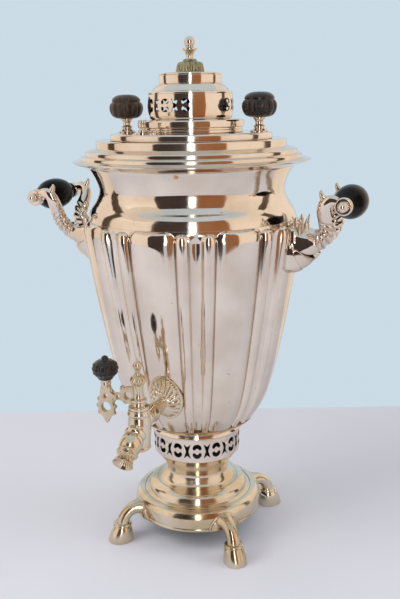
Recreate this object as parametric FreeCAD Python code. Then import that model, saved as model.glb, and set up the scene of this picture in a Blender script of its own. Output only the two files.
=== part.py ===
import FreeCAD, Part
import math
import os

# Samovar, in millimetres. Z is up, the floor is z = 0 under the hooves, the body's axis is the
# Z axis, the tap points to -Y and the two handles to +X and -X.

V = FreeCAD.Vector
AXIS = V(0, 0, 1)
ORIGIN = V(0, 0, 0)

# Sheet and fits
sheet = 1.2
base_sheet = 1.6
lift_clearance = 0.5
plug_clearance = 0.05
seat_clearance = 0.1

# Base skirt and pedestal
skirt_bottom_z = 23.0
skirt_bottom_radius = 64.4
skirt_belly_radius = 65.6
skirt_belly_z = 35.0
skirt_top_z = 44.2
skirt_step_radius = 56.2
collar_radius = 51.7
collar_z = 45.8
groove_radius = 41.5
groove_z = 55.5
waist_radius = 31.4
waist_z = 66.0

# Vent gallery
gallery_bottom_z = 89.0
gallery_top_z = 113.0
gallery_radius = 44.6
gallery_motifs = 14
gallery_motif_width = 8.6
gallery_cut_height = 15.0

# Under bowl and floor
bowl_bead_radius = 47.6
floor_z = 126.6
floor_thickness = 1.4
floor_radius = 59.2

# Lobed body wall: crest radius by height
wall_bottom_radius = 60.0
wall_low_radius = 76.5
wall_low_z = 160.0
wall_middle_radius = 91.5
wall_middle_z = 226.0
wall_high_radius = 104.0
wall_high_z = 301.5
wall_crest_radius = 106.4
wall_crest_z = 318.0
shoulder_radius = 106.0
shoulder_z = 331.0
lobe_repeats = 8
panel_half_angle = 12.5
reed_angle = 7.0
valley_depth_share = 0.034

# Upper neck
neck_radius = 89.4
neck_z = 358.0
neck_top_radius = 99.0
neck_top_z = 380.0

# Top ring
brim_radius = 114.0
brim_z = 385.5
brim_edge = 1.2
lower_step_radius = 105.6
lower_step_z = 390.6
upper_step_radius = 101.3
upper_step_z = 395.2
seat_ring_radius = 90.9
seat_z = 404.8
mouth_radius = 75.8

# Lid
lid_radius = 77.4
lid_top_z = 411.0
lid_skirt_depth = 7.0
lid_collar_radius = 49.3
lid_collar_height = 5.0
knob_circle_radius = 67.6
knob_radius = 16.4
knob_bottom_z = 424.4
knob_top_z = 447.0
knob_foot_radius = 8.6
knob_pin_radius = 2.5

# Steam vent
vent_circle_radius = 64.0
vent_azimuth = -21.0
vent_seat_radius = 6.5
vent_seat_height = 1.6
vent_hole_radius = 2.0
vent_arm_length = 13.0
vent_rivet_radius = 1.5

# Chimney tube and grate
tube_radius = 31.0
tube_top_z = 419.0
tube_foot_radius = 41.0
tube_foot_z = 113.0
tube_taper_top_z = 176.0
grate_thickness = 2.0
grate_hole_radius = 3.2
grate_lip = 3.5

# Crown
crown_foot_radius = 50.7
crown_foot_height = 7.0
drum_radius = 39.8
drum_belly = 1.0
drum_top_z = 446.0
crown_bead_radius = 37.4
crown_bead_z = 449.0
crown_neck_z = 455.2
crown_mouth_radius = 26.6
crown_motifs = 12
crown_motif_width = 7.4
crown_cut_height = 11.5

# Damper cap, leaf cup and finial
cap_radius = 29.4
cap_top_z = 465.0
cap_skirt_depth = 9.0
leaf_radius = 13.7
leaf_height = 8.0
leaf_petals = 8
finial_ball_radius = 5.4
finial_top_z = 498.0

# Handles
grip_axis_x = 154.0
grip_axis_z = 349.0
grip_belly_radius = 15.6
grip_length = 62.0
arm_root_y = 13.0
arm_root_z = 310.0
arm_eye_y = 36.0
eye_radius = 8.0
eye_thickness = 8.0
rod_radius = 3.0
ball_radius = 4.6

# Feet
foot_circle_radius = 88.0
hoof_half_width = 11.5
hoof_half_length = 13.0
hoof_height = 17.0
shield_half_width = 17.0
shield_thickness = 2.0

# Tap
barrel_y = -136.0
barrel_radius = 10.2
barrel_bottom_z = 145.0
barrel_top_z = 182.0
pipe_z = 168.0
pipe_bore_radius = 3.2
plug_bottom_radius = 5.6
plug_top_radius = 6.8
spout_drop_angle = 33.0
spout_length = 42.0
spout_way_radius = 3.2
spout_mouth_radius = 4.2
spout_mouth_depth = 22.0
mouth_flare_radius = 9.5
rosette_radius = 18.5
rosette_height_radius = 20.5
rosette_depth = 9.0
rosette_flutes = 20
rosette_z = 167.0

# Tap key
key_reach = 31.0
key_plate_thickness = 4.2
key_knob_radius = 11.75
key_knob_bottom_z = 206.0
key_knob_top_z = 226.0
key_tip_z = 229.0
key_column_bottom_z = 164.0


def edges_along(start, steps, place):
    """Edges from start through steps: a point is a straight run, a tuple of three words is
    ("arc", through, end) and ("curve", [points]) is one smooth curve."""
    edges = []
    here = start
    for step in steps:
        if step[0] == "arc":
            edges.append(Part.Arc(place(here), place(step[1]), place(step[2])).toShape())
            here = step[2]
        elif step[0] == "curve":
            curve = Part.BSplineCurve()
            curve.interpolate([place(point) for point in [here] + list(step[1])])
            edges.append(curve.toShape())
            here = step[1][-1]
        else:
            edges.append(Part.makeLine(place(here), place(step)))
            here = step
    return edges, here


def upright(point):
    return V(point[0], 0, point[1])


def turned(start, *steps):
    """A solid of revolution about Z from a closed outline of (radius, height)."""
    edges, end = edges_along(start, steps, upright)
    if end != start:
        edges.append(Part.makeLine(upright(end), upright(start)))
    return Part.Face(Part.Wire(edges)).revolve(ORIGIN, AXIS, 360)


def spun(wall, start, *steps):
    """Sheet metal of one wall thickness, spun about Z. The outline is the outer side, from the
    bottom up, and the wall lies inside it."""
    edges, end = edges_along(start, steps, upright)
    tangents = [(edge.tangentAt(edge.FirstParameter), edge.tangentAt(edge.LastParameter)) for edge in edges]

    def inward(point, before, after):
        """Move a corner in so that both of its sides keep the wall thickness."""
        normal = V(-before.z - after.z, 0, before.x + after.x)
        normal.normalize()
        reach = wall / max(0.5, normal.dot(V(-before.z, 0, before.x)))
        return (point[0] + normal.x * reach, point[1] + normal.z * reach)

    def inward_on(edge, point):
        tangent = edge.tangentAt(edge.Curve.parameter(upright(point)))
        return inward(point, tangent, tangent)

    def rim(point, tangent):
        """The end of the sheet is cut level, or plumb where the sheet runs flat."""
        if abs(tangent.z) > abs(tangent.x):
            return (point[0] - wall / tangent.z, point[1])
        return (point[0], point[1] + wall / tangent.x)

    inner_start = rim(start, tangents[0][0])
    inner_steps = []
    for place, step in enumerate(steps):
        corner = step[2] if step[0] == "arc" else step[1][-1] if step[0] == "curve" else step
        if place + 1 < len(steps):
            inner_corner = inward(corner, tangents[place][1], tangents[place + 1][0])
        else:
            inner_corner = rim(corner, tangents[place][1])
        if step[0] == "arc":
            inner_steps.append(("arc", inward_on(edges[place], step[1]), inner_corner))
        elif step[0] == "curve":
            inner_steps.append(("curve", [inward_on(edges[place], point) for point in step[1][:-1]] + [inner_corner]))
        else:
            inner_steps.append(inner_corner)
    inner_edges, inner_end = edges_along(inner_start, inner_steps, upright)
    rims = [Part.makeLine(upright(start), upright(inner_start)), Part.makeLine(upright(end), upright(inner_end))]
    outline = Part.Wire(Part.__sortEdges__(edges + inner_edges + rims))
    return Part.Face(outline).revolve(ORIGIN, AXIS, 360)


def ring_plate(inner, outer, bottom, top):
    return turned((inner, bottom), (outer, bottom), (outer, top), (inner, top))


def cylinder(radius, start, direction, length):
    return Part.makeCylinder(radius, length, start, direction)


def at_azimuth(shape, degrees):
    """Turn a shape that points to +X so that it points to this angle from +X."""
    turned_shape = shape.copy()
    turned_shape.rotate(ORIGIN, AXIS, degrees)
    return turned_shape


def mirrored(shape, normal):
    return shape.mirror(ORIGIN, normal)


def polar(radius, degrees, z=0.0):
    angle = math.radians(degrees)
    return V(radius * math.cos(angle), radius * math.sin(angle), z)


def save(name, shape):
    solids = shape.Solids
    result = solids[0] if len(solids) == 1 else Part.makeCompound(solids)
    result.exportStep("parts/" + name + ".step")
    box = result.BoundBox
    print("%-24s solids %d  volume %9.1f  z %.1f to %.1f  valid %s" % (
        name, len(solids), result.Volume, box.ZMin, box.ZMax, result.isValid()))
    return result


# Lobed sections. One repeat is a wide panel, a reed, a hollow flute and a second reed.
repeat_angle = 360.0 / lobe_repeats
flute_angle = repeat_angle - 2 * panel_half_angle - 2 * reed_angle


def lobed_wire(z, crest, depth, inset):
    """A closed wire of arcs at height z. The crests stand at crest, the valleys depth inside it,
    and inset moves the whole line inwards."""
    edges = []
    top = crest - inset
    low = crest - depth - inset
    for repeat in range(lobe_repeats):
        angle = repeat * repeat_angle - panel_half_angle
        for width, middle in ((2 * panel_half_angle, top), (reed_angle, top),
                              (flute_angle, low - 0.25 * depth), (reed_angle, top)):
            edges.append(Part.Arc(polar(low, angle, z), polar(middle, angle + width / 2, z),
                                  polar(low, angle + width, z)).toShape())
            angle += width
    return Part.Wire(edges)


def circle_wire(z, radius):
    return lobed_wire(z, radius, 0.0, 0.0)


wall_bottom_z = floor_z + floor_thickness
wall_sections = [(wall_bottom_z, wall_bottom_radius), (wall_low_z, wall_low_radius),
                 (wall_middle_z, wall_middle_radius), (wall_high_z, wall_high_radius),
                 (wall_crest_z, wall_crest_radius)]


def lobed_solid(inset):
    """The lobed cone, filled, with its whole surface moved in by inset."""
    wires = [lobed_wire(z, crest, valley_depth_share * crest, inset) for z, crest in wall_sections]
    cone = Part.makeLoft(wires, True, False)
    cap = Part.makeLoft([wires[-1], circle_wire(shoulder_z, shoulder_radius - inset)], True, True)
    return cone.fuse(cap).removeSplitter().Solids[0]


body_outside = lobed_solid(0.0)


# Base
def base_skirt():
    return spun(base_sheet, (skirt_bottom_radius, skirt_bottom_z),
                ("arc", (skirt_belly_radius, skirt_belly_z - 4), (skirt_belly_radius - 0.4, skirt_belly_z + 2)),
                ("arc", (62.4, skirt_top_z - 2), (skirt_step_radius, skirt_top_z)),
                (collar_radius, collar_z),
                ("arc", (49.0, collar_z + 6.2), (groove_radius, groove_z)))


def pedestal():
    return spun(base_sheet, (groove_radius, groove_z),
                ("curve", [(34.2, groove_z + 5), (waist_radius, waist_z), (33.6, waist_z + 8),
                           (39.6, waist_z + 16.5), (gallery_radius, gallery_bottom_z)]))


# Pierced bands share one motif: two kidney holes over each other, and a four pointed hole
def kidney(width, height, upward):
    """Outline of a kidney hole in the YZ plane, its hollow towards z = 0."""
    half = width / 2
    inner = height * 0.16
    outer = height * 0.5
    sign = 1 if upward else -1

    def place(point):
        return V(0, point[0], sign * point[1])

    edges, end = edges_along(
        (-half, inner), [("arc", (-half * 0.82, outer * 0.86), (0, outer)),
                         ("arc", (half * 0.82, outer * 0.86), (half, inner)),
                         ("arc", (half * 0.62, inner * 0.9), (half * 0.42, inner * 1.35)),
                         ("arc", (0, outer * 0.62), (-half * 0.42, inner * 1.35)),
                         ("arc", (-half * 0.62, inner * 0.9), (-half, inner))], place)
    return Part.Wire(edges)


def cross_star(width, height):
    """Outline of a four pointed hole in the YZ plane."""
    half_width = width / 2
    half_height = height / 2
    points = []
    for across, up in ((1, 1), (-1, 1), (-1, -1), (1, -1)):
        points.append(V(0, across * half_width, up * half_height))
        if across == up:
            points.append(V(0, 0, up * half_height * 0.45))
        else:
            points.append(V(0, across * half_width * 0.38, 0))
    return Part.makePolygon(points + [points[0]])


def cutter(wire, radius, z):
    """Extrude a hole's outline through the wall at this radius and height, towards +X."""
    face = Part.Face(wire)
    face.translate(V(radius - 6, 0, z))
    return face.extrude(V(12, 0, 0))


def pierce(band, radius, z, height, motif_width, motifs, angles):
    """Cut kidney pairs at the given angles and a star half a pitch after each."""
    pitch = 360.0 / motifs
    star_width = 2 * math.pi * radius / motifs - motif_width - 3.0
    tools = []
    for angle in angles:
        for upward in (True, False):
            tools.append(at_azimuth(cutter(kidney(motif_width, height, upward), radius, z), angle))
        tools.append(at_azimuth(cutter(cross_star(star_width, height), radius, z), angle + pitch / 2))
    return band.cut(Part.makeCompound(tools))


# Camera side of the gallery has a kidney pair 21 degrees from the tap, which points to -90
gallery_start = -90.0 + 21.4


def vent_gallery():
    band = ring_plate(gallery_radius - sheet, gallery_radius, gallery_bottom_z, gallery_top_z)
    middle = (gallery_bottom_z + gallery_top_z) / 2
    angles = [gallery_start + step * 360.0 / gallery_motifs for step in range(gallery_motifs)]
    return pierce(band, gallery_radius, middle, gallery_cut_height, gallery_motif_width,
                  gallery_motifs, angles)


def under_bowl():
    return spun(sheet, (gallery_radius, gallery_top_z),
                ("arc", (bowl_bead_radius + 0.6, gallery_top_z + 2.2), (bowl_bead_radius - 0.6, gallery_top_z + 4.6)),
                ("arc", (bowl_bead_radius + 4.4, gallery_top_z + 8.2), (floor_radius - 1.2, floor_z)))


def body_floor():
    return ring_plate(tube_foot_radius + seat_clearance, floor_radius, floor_z, wall_bottom_z)


tap_hole = cylinder(pipe_bore_radius, V(0, 0, pipe_z), V(0, -1, 0), 120)


def body_wall():
    wall = body_outside.cut(lobed_solid(sheet))
    return wall.cut(tap_hole)


def upper_neck():
    return spun(sheet, (shoulder_radius, shoulder_z),
                ("curve", [(98.4, shoulder_z + 8.5), (91.6, shoulder_z + 18.5), (neck_radius, neck_z),
                           (91.2, neck_z + 7.5), (neck_top_radius, neck_top_z)]))


def top_ring():
    return turned((neck_top_radius, neck_top_z),
                  (brim_radius - 2, brim_z - brim_edge), (brim_radius, brim_z - 0.4),
                  (brim_radius, brim_z + 0.2), (lower_step_radius, brim_z + 1.8),
                  (lower_step_radius, lower_step_z - 1),
                  ("arc", (lower_step_radius - 0.4, lower_step_z - 0.3), (lower_step_radius - 1.2, lower_step_z)),
                  (upper_step_radius, lower_step_z + 0.8), (upper_step_radius, upper_step_z - 1),
                  ("arc", (upper_step_radius - 0.4, upper_step_z - 0.3), (upper_step_radius - 1.2, upper_step_z)),
                  (seat_ring_radius, upper_step_z + 2.6), (seat_ring_radius, seat_z - 1.2),
                  ("arc", (seat_ring_radius - 0.4, seat_z - 0.4), (seat_ring_radius - 1.2, seat_z)),
                  (mouth_radius, seat_z), (mouth_radius, seat_z - 6),
                  (mouth_radius + sheet, seat_z - 6), (mouth_radius + sheet, seat_z - sheet),
                  (seat_ring_radius - 1.6, seat_z - sheet - 0.4), (seat_ring_radius - 1.6, upper_step_z + 0.8),
                  (upper_step_radius - 1.6, upper_step_z - 1.8), (upper_step_radius - 1.6, lower_step_z - 0.8),
                  (lower_step_radius - 1.6, lower_step_z - 1.6), (lower_step_radius - 1.6, brim_z - 0.4),
                  (neck_top_radius - 1.0, neck_top_z + 1.6), (neck_top_radius - sheet, neck_top_z))


# Chimney
def fire_tube():
    tube = spun(sheet, (tube_foot_radius, tube_foot_z), (tube_foot_radius, wall_bottom_z + 2),
                (tube_radius, tube_taper_top_z), (tube_radius, tube_top_z))
    lip = ring_plate(tube_foot_radius - grate_lip, tube_foot_radius - sheet, tube_foot_z, tube_foot_z + sheet)
    return tube.fuse(lip)


def fire_grate():
    bottom = tube_foot_z + sheet
    plate = ring_plate(0.0, tube_foot_radius - sheet - seat_clearance, bottom, bottom + grate_thickness)
    holes = [V(0, 0, bottom - 1)]
    for circle, count in ((13.0, 6), (26.0, 10)):
        holes += [polar(circle, step * 360.0 / count, bottom - 1) for step in range(count)]
    tools = [cylinder(grate_hole_radius, place, AXIS, grate_thickness + 2) for place in holes]
    return plate.cut(Part.makeCompound(tools))


# Lid and its fittings
lid_hole_radius = tube_radius + lift_clearance
lid_inner_top = lid_top_z - sheet
knob_azimuths = {"right": 0.0, "left": 180.0}


def lid():
    skirt_radius = mouth_radius - lift_clearance
    plate = turned((lid_hole_radius, lid_top_z), (lid_radius - 1.2, lid_top_z),
                   ("arc", (lid_radius - 0.4, lid_top_z - 0.4), (lid_radius, lid_top_z - 1.2)),
                   (lid_radius, seat_z), (skirt_radius, seat_z),
                   (skirt_radius, seat_z - lid_skirt_depth + 1.5),
                   (skirt_radius - sheet, seat_z - lid_skirt_depth + 1.5),
                   (skirt_radius - sheet, lid_inner_top), (lid_hole_radius, lid_inner_top))
    holes = [cylinder(knob_pin_radius + seat_clearance, polar(knob_circle_radius, angle, lid_inner_top - 1),
                      AXIS, sheet + 2) for angle in knob_azimuths.values()]
    holes.append(cylinder(vent_hole_radius, polar(vent_circle_radius, vent_angle, lid_inner_top - 1),
                          AXIS, sheet + 2))
    return plate.cut(Part.makeCompound(holes))


vent_angle = -90.0 + vent_azimuth


def lid_collar():
    top = lid_top_z + lid_collar_height
    return turned((lid_hole_radius, lid_top_z), (lid_collar_radius, lid_top_z),
                  (lid_collar_radius, top - 0.8), (lid_collar_radius - 0.8, top), (lid_hole_radius, top))


def knob_stem(angle):
    top = knob_bottom_z
    stem = turned((0, lid_top_z), (knob_foot_radius, lid_top_z), (knob_foot_radius, lid_top_z + 1.2),
                  ("arc", (6.6, lid_top_z + 2.4), (4.6, lid_top_z + 4.0)),
                  ("arc", (5.9, lid_top_z + 5.0), (4.4, lid_top_z + 6.0)),
                  ("arc", (3.9, lid_top_z + 8.4), (6.0, top - 1.0)), (6.0, top), (0, top))
    pin_low = cylinder(knob_pin_radius, V(0, 0, lid_inner_top - 5), AXIS, lid_top_z - lid_inner_top + 6)
    pin_high = cylinder(knob_pin_radius, V(0, 0, top - 1), AXIS, 13)
    stem = stem.fuse([pin_low, pin_high])
    stem.translate(polar(knob_circle_radius, angle))
    return stem


def fluted_disc(radius, ripple, count, bottom, top):
    """A knob with ripples round its edge: full width in the middle, drawn in above and below."""
    def ring(z, share):
        edges = []
        low = radius * share - ripple
        for step in range(count):
            angle = step * 360.0 / count
            width = 360.0 / count
            edges.append(Part.Arc(polar(low, angle, z), polar(low + ripple, angle + width / 2, z),
                                  polar(low, angle + width, z)).toShape())
        return Part.Wire(edges)
    height = top - bottom
    levels = [(bottom, 0.62), (bottom + 0.2 * height, 0.86), (bottom + 0.42 * height, 1.0),
              (bottom + 0.6 * height, 0.98), (bottom + 0.8 * height, 0.84), (top, 0.5)]
    return Part.makeLoft([ring(z, share) for z, share in levels], True, True)


def lid_knob(angle):
    knob = fluted_disc(knob_radius, 1.4, 10, knob_bottom_z, knob_top_z)
    knob = knob.cut(cylinder(knob_pin_radius + seat_clearance, V(0, 0, knob_bottom_z - 1), AXIS, 13.5))
    knob.translate(polar(knob_circle_radius, angle))
    return knob


def lid_knob_nuts():
    nuts = []
    for angle in knob_azimuths.values():
        corners = [polar(5.0, 60.0 * side, lid_inner_top - 3) for side in range(7)]
        nut = Part.Face(Part.makePolygon(corners)).extrude(V(0, 0, 3))
        nut = nut.cut(cylinder(knob_pin_radius + seat_clearance, V(0, 0, lid_inner_top - 4), AXIS, 5))
        nut.translate(polar(knob_circle_radius, angle))
        nuts.append(nut)
    return Part.makeCompound(nuts)


vent_place = polar(vent_circle_radius, vent_angle)
vent_sideways = V(-math.sin(math.radians(vent_angle)), math.cos(math.radians(vent_angle)), 0)
rivet_place = vent_place + vent_sideways * vent_arm_length
vent_seat_top = lid_top_z + vent_seat_height


def vent_seat():
    disc = cylinder(vent_seat_radius, vent_place + V(0, 0, lid_top_z), AXIS, vent_seat_height)
    boss = cylinder(3.4, rivet_place + V(0, 0, lid_top_z), AXIS, vent_seat_height)
    rivet = cylinder(vent_rivet_radius, rivet_place + V(0, 0, vent_seat_top - 0.5), AXIS, 3.3)
    head = cylinder(2.6, rivet_place + V(0, 0, vent_seat_top + 2.1), AXIS, 1.2)
    hole = cylinder(vent_hole_radius, vent_place + V(0, 0, lid_top_z - 1), AXIS, vent_seat_height + 2)
    return disc.fuse([boss, rivet, head]).cut(hole)


def vent_cap():
    bottom = vent_seat_top + 0.1
    knob = turned((0, bottom), (4.4, bottom), (4.4, bottom + 1.8), ("arc", (3.2, bottom + 2.4), (2.2, bottom + 4.0)),
                  ("arc", (3.4, bottom + 5.4), (2.4, bottom + 7.0)), ("arc", (4.0, bottom + 9.2), (1.6, bottom + 11.2)),
                  (0, bottom + 11.2))
    knob.translate(vent_place)
    length = vent_arm_length
    arm = Part.makeBox(length, 4.0, 1.8, V(0, -2.0, bottom))
    eye = cylinder(3.4, V(length, 0, bottom), AXIS, 1.8)
    arm = arm.fuse(eye).cut(cylinder(vent_rivet_radius + plug_clearance, V(length, 0, bottom - 1), AXIS, 4))
    arm.rotate(ORIGIN, AXIS, vent_angle + 90.0)
    arm.translate(vent_place)
    return knob.fuse(arm)


# Crown
crown_foot_z = lid_top_z + lid_collar_height
crown_foot_top = crown_foot_z + crown_foot_height
crown_inner = tube_radius + 2 * lift_clearance


def crown_foot():
    top = crown_foot_top
    return turned((crown_inner, crown_foot_z), (crown_foot_radius, crown_foot_z),
                  (crown_foot_radius, top - 1.6),
                  ("arc", (crown_foot_radius - 0.5, top - 0.6), (crown_foot_radius - 1.6, top)),
                  (crown_inner, top))


def crown_drum():
    middle = (crown_foot_top + drum_top_z) / 2
    drum = spun(sheet, (drum_radius - 2.4, crown_foot_top),
                ("arc", (drum_radius - 0.8, crown_foot_top + 1.2), (drum_radius, crown_foot_top + 3.5)),
                ("arc", (drum_radius + drum_belly, middle + 1), (drum_radius, drum_top_z)))
    pitch = 360.0 / crown_motifs
    angles = []
    for group in range(3):
        centre = -90.0 + 21.0 - 49.5 + group * 120.0
        angles += [centre - pitch, centre]
    pierced = pierce(drum, drum_radius, middle + 1.5, crown_cut_height, crown_motif_width, crown_motifs, angles)
    return pierced


def crown_shoulder():
    return spun(sheet, (drum_radius, drum_top_z),
                ("arc", (drum_radius - 0.2, drum_top_z + 1.8), (crown_bead_radius + 0.6, crown_bead_z - 0.4)),
                ("arc", (34.4, crown_bead_z + 3.4), (31.6, crown_neck_z - 0.6)),
                (cap_radius, crown_neck_z), (crown_mouth_radius, crown_neck_z))


def damper_cap():
    skirt = crown_mouth_radius - lift_clearance
    bottom = crown_neck_z
    return turned((cap_radius, bottom), (cap_radius + 0.3, cap_top_z - 1.0),
                  ("arc", (cap_radius, cap_top_z - 0.3), (cap_radius - 0.8, cap_top_z)), (0, cap_top_z),
                  (0, cap_top_z - sheet), (skirt - sheet, cap_top_z - sheet),
                  (skirt - sheet, bottom - cap_skirt_depth), (skirt, bottom - cap_skirt_depth), (skirt, bottom))


def leaf_cup():
    def ring(z, radius, ripple):
        edges = []
        width = 360.0 / leaf_petals
        for petal in range(leaf_petals):
            angle = petal * width
            edges.append(Part.Arc(polar(radius - ripple, angle, z), polar(radius, angle + width / 2, z),
                                  polar(radius - ripple, angle + width, z)).toShape())
        return Part.Wire(edges)
    bottom = cap_top_z
    levels = [ring(bottom, leaf_radius - 1.2, 1.0), ring(bottom + 2.0, leaf_radius, 1.4),
              ring(bottom + leaf_height, leaf_radius - 2.4, 1.2), ring(bottom + leaf_height + 4.5, 6.0, 0.5)]
    return Part.makeLoft(levels, True, True)


def finial():
    bottom = cap_top_z + leaf_height + 4.5
    ball_centre = finial_top_z - finial_ball_radius
    stem = turned((0, bottom), (4.6, bottom), (3.6, bottom + 3.2), (7.2, ball_centre - 6.8),
                  (7.2, ball_centre - 5.6), (3.4, ball_centre - 4.4), (0, ball_centre - 4.4))
    return stem.fuse(Part.makeSphere(finial_ball_radius, V(0, 0, ball_centre)))


# Handles. The arm is drawn for the right handle's back arm, at +X and +Y
def ellipse_wire(centre, normal, half_tall, half_wide):
    """An ellipse across a limb: its tall axis in the XZ plane, its wide axis along Y."""
    normal = V(normal[0], 0, normal[1])
    normal.normalize()
    tall = V(-normal.z, 0, normal.x) * half_tall
    place = FreeCAD.Matrix(tall.x, 0, normal.x, centre.x,
                           0, half_wide, 0, centre.y,
                           tall.z, 0, normal.z, centre.z,
                           0, 0, 0, 1)
    return Part.Wire(Part.Circle().toShape().transformGeometry(place).Edges)


def handle_arm():
    y = arm_root_y
    lean = (arm_eye_y - arm_root_y)
    sections = [
        ellipse_wire(V(88, y, arm_root_z - 2.0), (1, 0), 22.0, 10.6),
        ellipse_wire(V(105, y, arm_root_z - 1.0), (1, 0), 20.5, 9.6),
        ellipse_wire(V(113, y, arm_root_z + 1.0), (1, 0.05), 13.0, 7.8),
        ellipse_wire(V(123, y + 0.04 * lean, arm_root_z + 3.0), (1, 0.35), 8.2, 6.8),
        ellipse_wire(V(132.5, y + 0.12 * lean, arm_root_z + 9.0), (1, 1.2), 6.9, 6.4),
        ellipse_wire(V(137.5, y + 0.35 * lean, arm_root_z + 19.0), (0.1, 1), 6.5, 6.2),
        ellipse_wire(V(137.5, y + 0.7 * lean, arm_root_z + 31.0), (-0.02, 1), 6.0, 5.6),
        ellipse_wire(V(138.0, arm_eye_y - 1.0, arm_root_z + 40.0), (0.2, 1), 5.2, 5.0),
    ]
    stem = Part.makeLoft(sections, True, False)
    head = Part.makeLoft([ellipse_wire(V(133, arm_eye_y - 0.6, grip_axis_z + 1.5), (1, 0), 6.0, 4.0),
                          ellipse_wire(V(146, arm_eye_y, grip_axis_z + 0.5), (1, 0), 4.8, 3.8),
                          ellipse_wire(V(grip_axis_x, arm_eye_y, grip_axis_z), (1, 0), 6.5, 3.9)], True, True)
    horn = Part.makeCone(4.2, 0.9, 12.5, V(137.2, arm_eye_y - 0.6, grip_axis_z + 1.5), V(-0.28, 0, 1))
    eye = cylinder(eye_radius, V(grip_axis_x, arm_eye_y - eye_thickness / 2, grip_axis_z), V(0, 1, 0), eye_thickness)
    hole = cylinder(rod_radius + seat_clearance, V(grip_axis_x, arm_eye_y - 20, grip_axis_z), V(0, 1, 0), 40)
    inner_face = Part.makeBox(40, 20, 60, V(144, arm_eye_y - eye_thickness / 2 - 20, grip_axis_z - 30))
    head = head.fuse([horn, eye]).cut(inner_face).cut(hole)
    return stem.cut(body_outside).fuse(head)


def handle_grip():
    half = grip_length / 2
    bore = rod_radius + seat_clearance
    grip = turned((bore, -half), (7.4, -half), ("arc", (8.3, -half + 1.6), (7.2, -half + 3.2)),
                  ("curve", [(8.6, -half + 7), (13.4, -half * 0.48), (grip_belly_radius, 0), (13.4, half * 0.48),
                             (8.6, half - 7), (7.2, half - 3.2)]),
                  ("arc", (8.3, half - 1.6), (7.4, half)), (bore, half))
    grip.rotate(ORIGIN, V(1, 0, 0), 90)
    grip.translate(V(grip_axis_x, 0, grip_axis_z))
    return grip


rod_half_length = arm_eye_y + eye_thickness / 2 + 4.0


def handle_rod():
    return cylinder(rod_radius, V(grip_axis_x, -rod_half_length, grip_axis_z), V(0, 1, 0), 2 * rod_half_length)


def rod_balls():
    """Four ball nuts, one at each end of both rods, each with a flat against the arm's eye."""
    balls = []
    flat = arm_eye_y + eye_thickness / 2
    for side in (1, -1):
        for end in (1, -1):
            centre = V(side * grip_axis_x, end * (flat + 3.4), grip_axis_z)
            ball = Part.makeSphere(ball_radius, centre)
            outward = V(0, end, 0)
            keep = cylinder(2 * ball_radius, V(side * grip_axis_x, end * flat, grip_axis_z), outward, 20)
            pin = cylinder(rod_radius + seat_clearance, V(side * grip_axis_x, end * (flat - 1), grip_axis_z),
                           outward, rod_half_length - flat + 1.1)
            balls.append(ball.common(keep).cut(pin))
    return Part.makeCompound(balls)


# Feet, drawn pointing to +X
skirt_outside = turned((0, skirt_bottom_z - 5), (skirt_bottom_radius, skirt_bottom_z - 5), (skirt_bottom_radius, skirt_bottom_z),
                       ("arc", (skirt_belly_radius, skirt_belly_z - 4), (skirt_belly_radius - 0.4, skirt_belly_z + 2)),
                       ("arc", (62.4, skirt_top_z - 2), (skirt_step_radius, skirt_top_z)), (0, skirt_top_z))


def hoof_foot():
    leg = Part.makeLoft([
        ellipse_wire(V(58, 0, 33.0), (1, 0), 8.5, 13.0),
        ellipse_wire(V(67, 0, 33.5), (1, 0), 7.0, 9.0),
        ellipse_wire(V(75, 0, 32.0), (1, -0.35), 6.2, 6.8),
        ellipse_wire(V(81.5, 0, 27.0), (1, -1.4), 6.0, 6.2),
        ellipse_wire(V(84.5, 0, 20.0), (0.2, -1), 6.4, 6.6),
        ellipse_wire(V(85.5, 0, hoof_height - 2), (0.1, -1), 7.2, 7.6)], True, False)
    hoof = Part.makeLoft([
        ellipse_wire(V(86.0, 0, hoof_height), (0, 1), 8.6, 8.8),
        ellipse_wire(V(87.2, 0, hoof_height * 0.45), (0, 1), 11.8, 10.8),
        ellipse_wire(V(foot_circle_radius, 0, 0), (0, 1), hoof_half_length, hoof_half_width)], True, True)
    band = turned((0, 0), (8.8, 0), ("arc", (9.9, 1.6), (8.8, 3.2)), (0, 3.2))
    band.translate(V(85.8, 0, hoof_height - 0.8))
    disc = cylinder(shield_half_width, V(0, 0, skirt_bottom_z + 1.5), V(1, 0, 0), 90)
    above = Part.makeBox(90, 60, 30, V(0, -30, skirt_bottom_z))
    grown = skirt_outside.makeOffsetShape(shield_thickness, 0.01)
    shield = grown.common(disc).common(above).common(Part.makeBox(60, 60, 60, V(40, -30, 0)))
    foot = leg.fuse([hoof, band, shield])
    return foot.cut(skirt_outside)


# Tap. The pipe runs to -Y, the barrel stands on barrel_y, the spout drops away from it
barrel_foot = V(0, barrel_y, 0)
spout_angle = math.radians(spout_drop_angle)
spout_direction = V(0, -math.cos(spout_angle), -math.sin(spout_angle))
spout_root = V(0, barrel_y, pipe_z)


def plug_radius(z):
    share = (z - barrel_bottom_z) / (barrel_top_z - barrel_bottom_z)
    return plug_bottom_radius + share * (plug_top_radius - plug_bottom_radius)


def along_spout(shape):
    """Move a shape turned about Z so that its +Z runs down the spout from the barrel's axis."""
    placed = shape.copy()
    placed.Placement = FreeCAD.Placement(spout_root, FreeCAD.Rotation(AXIS, spout_direction))
    return placed


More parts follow.
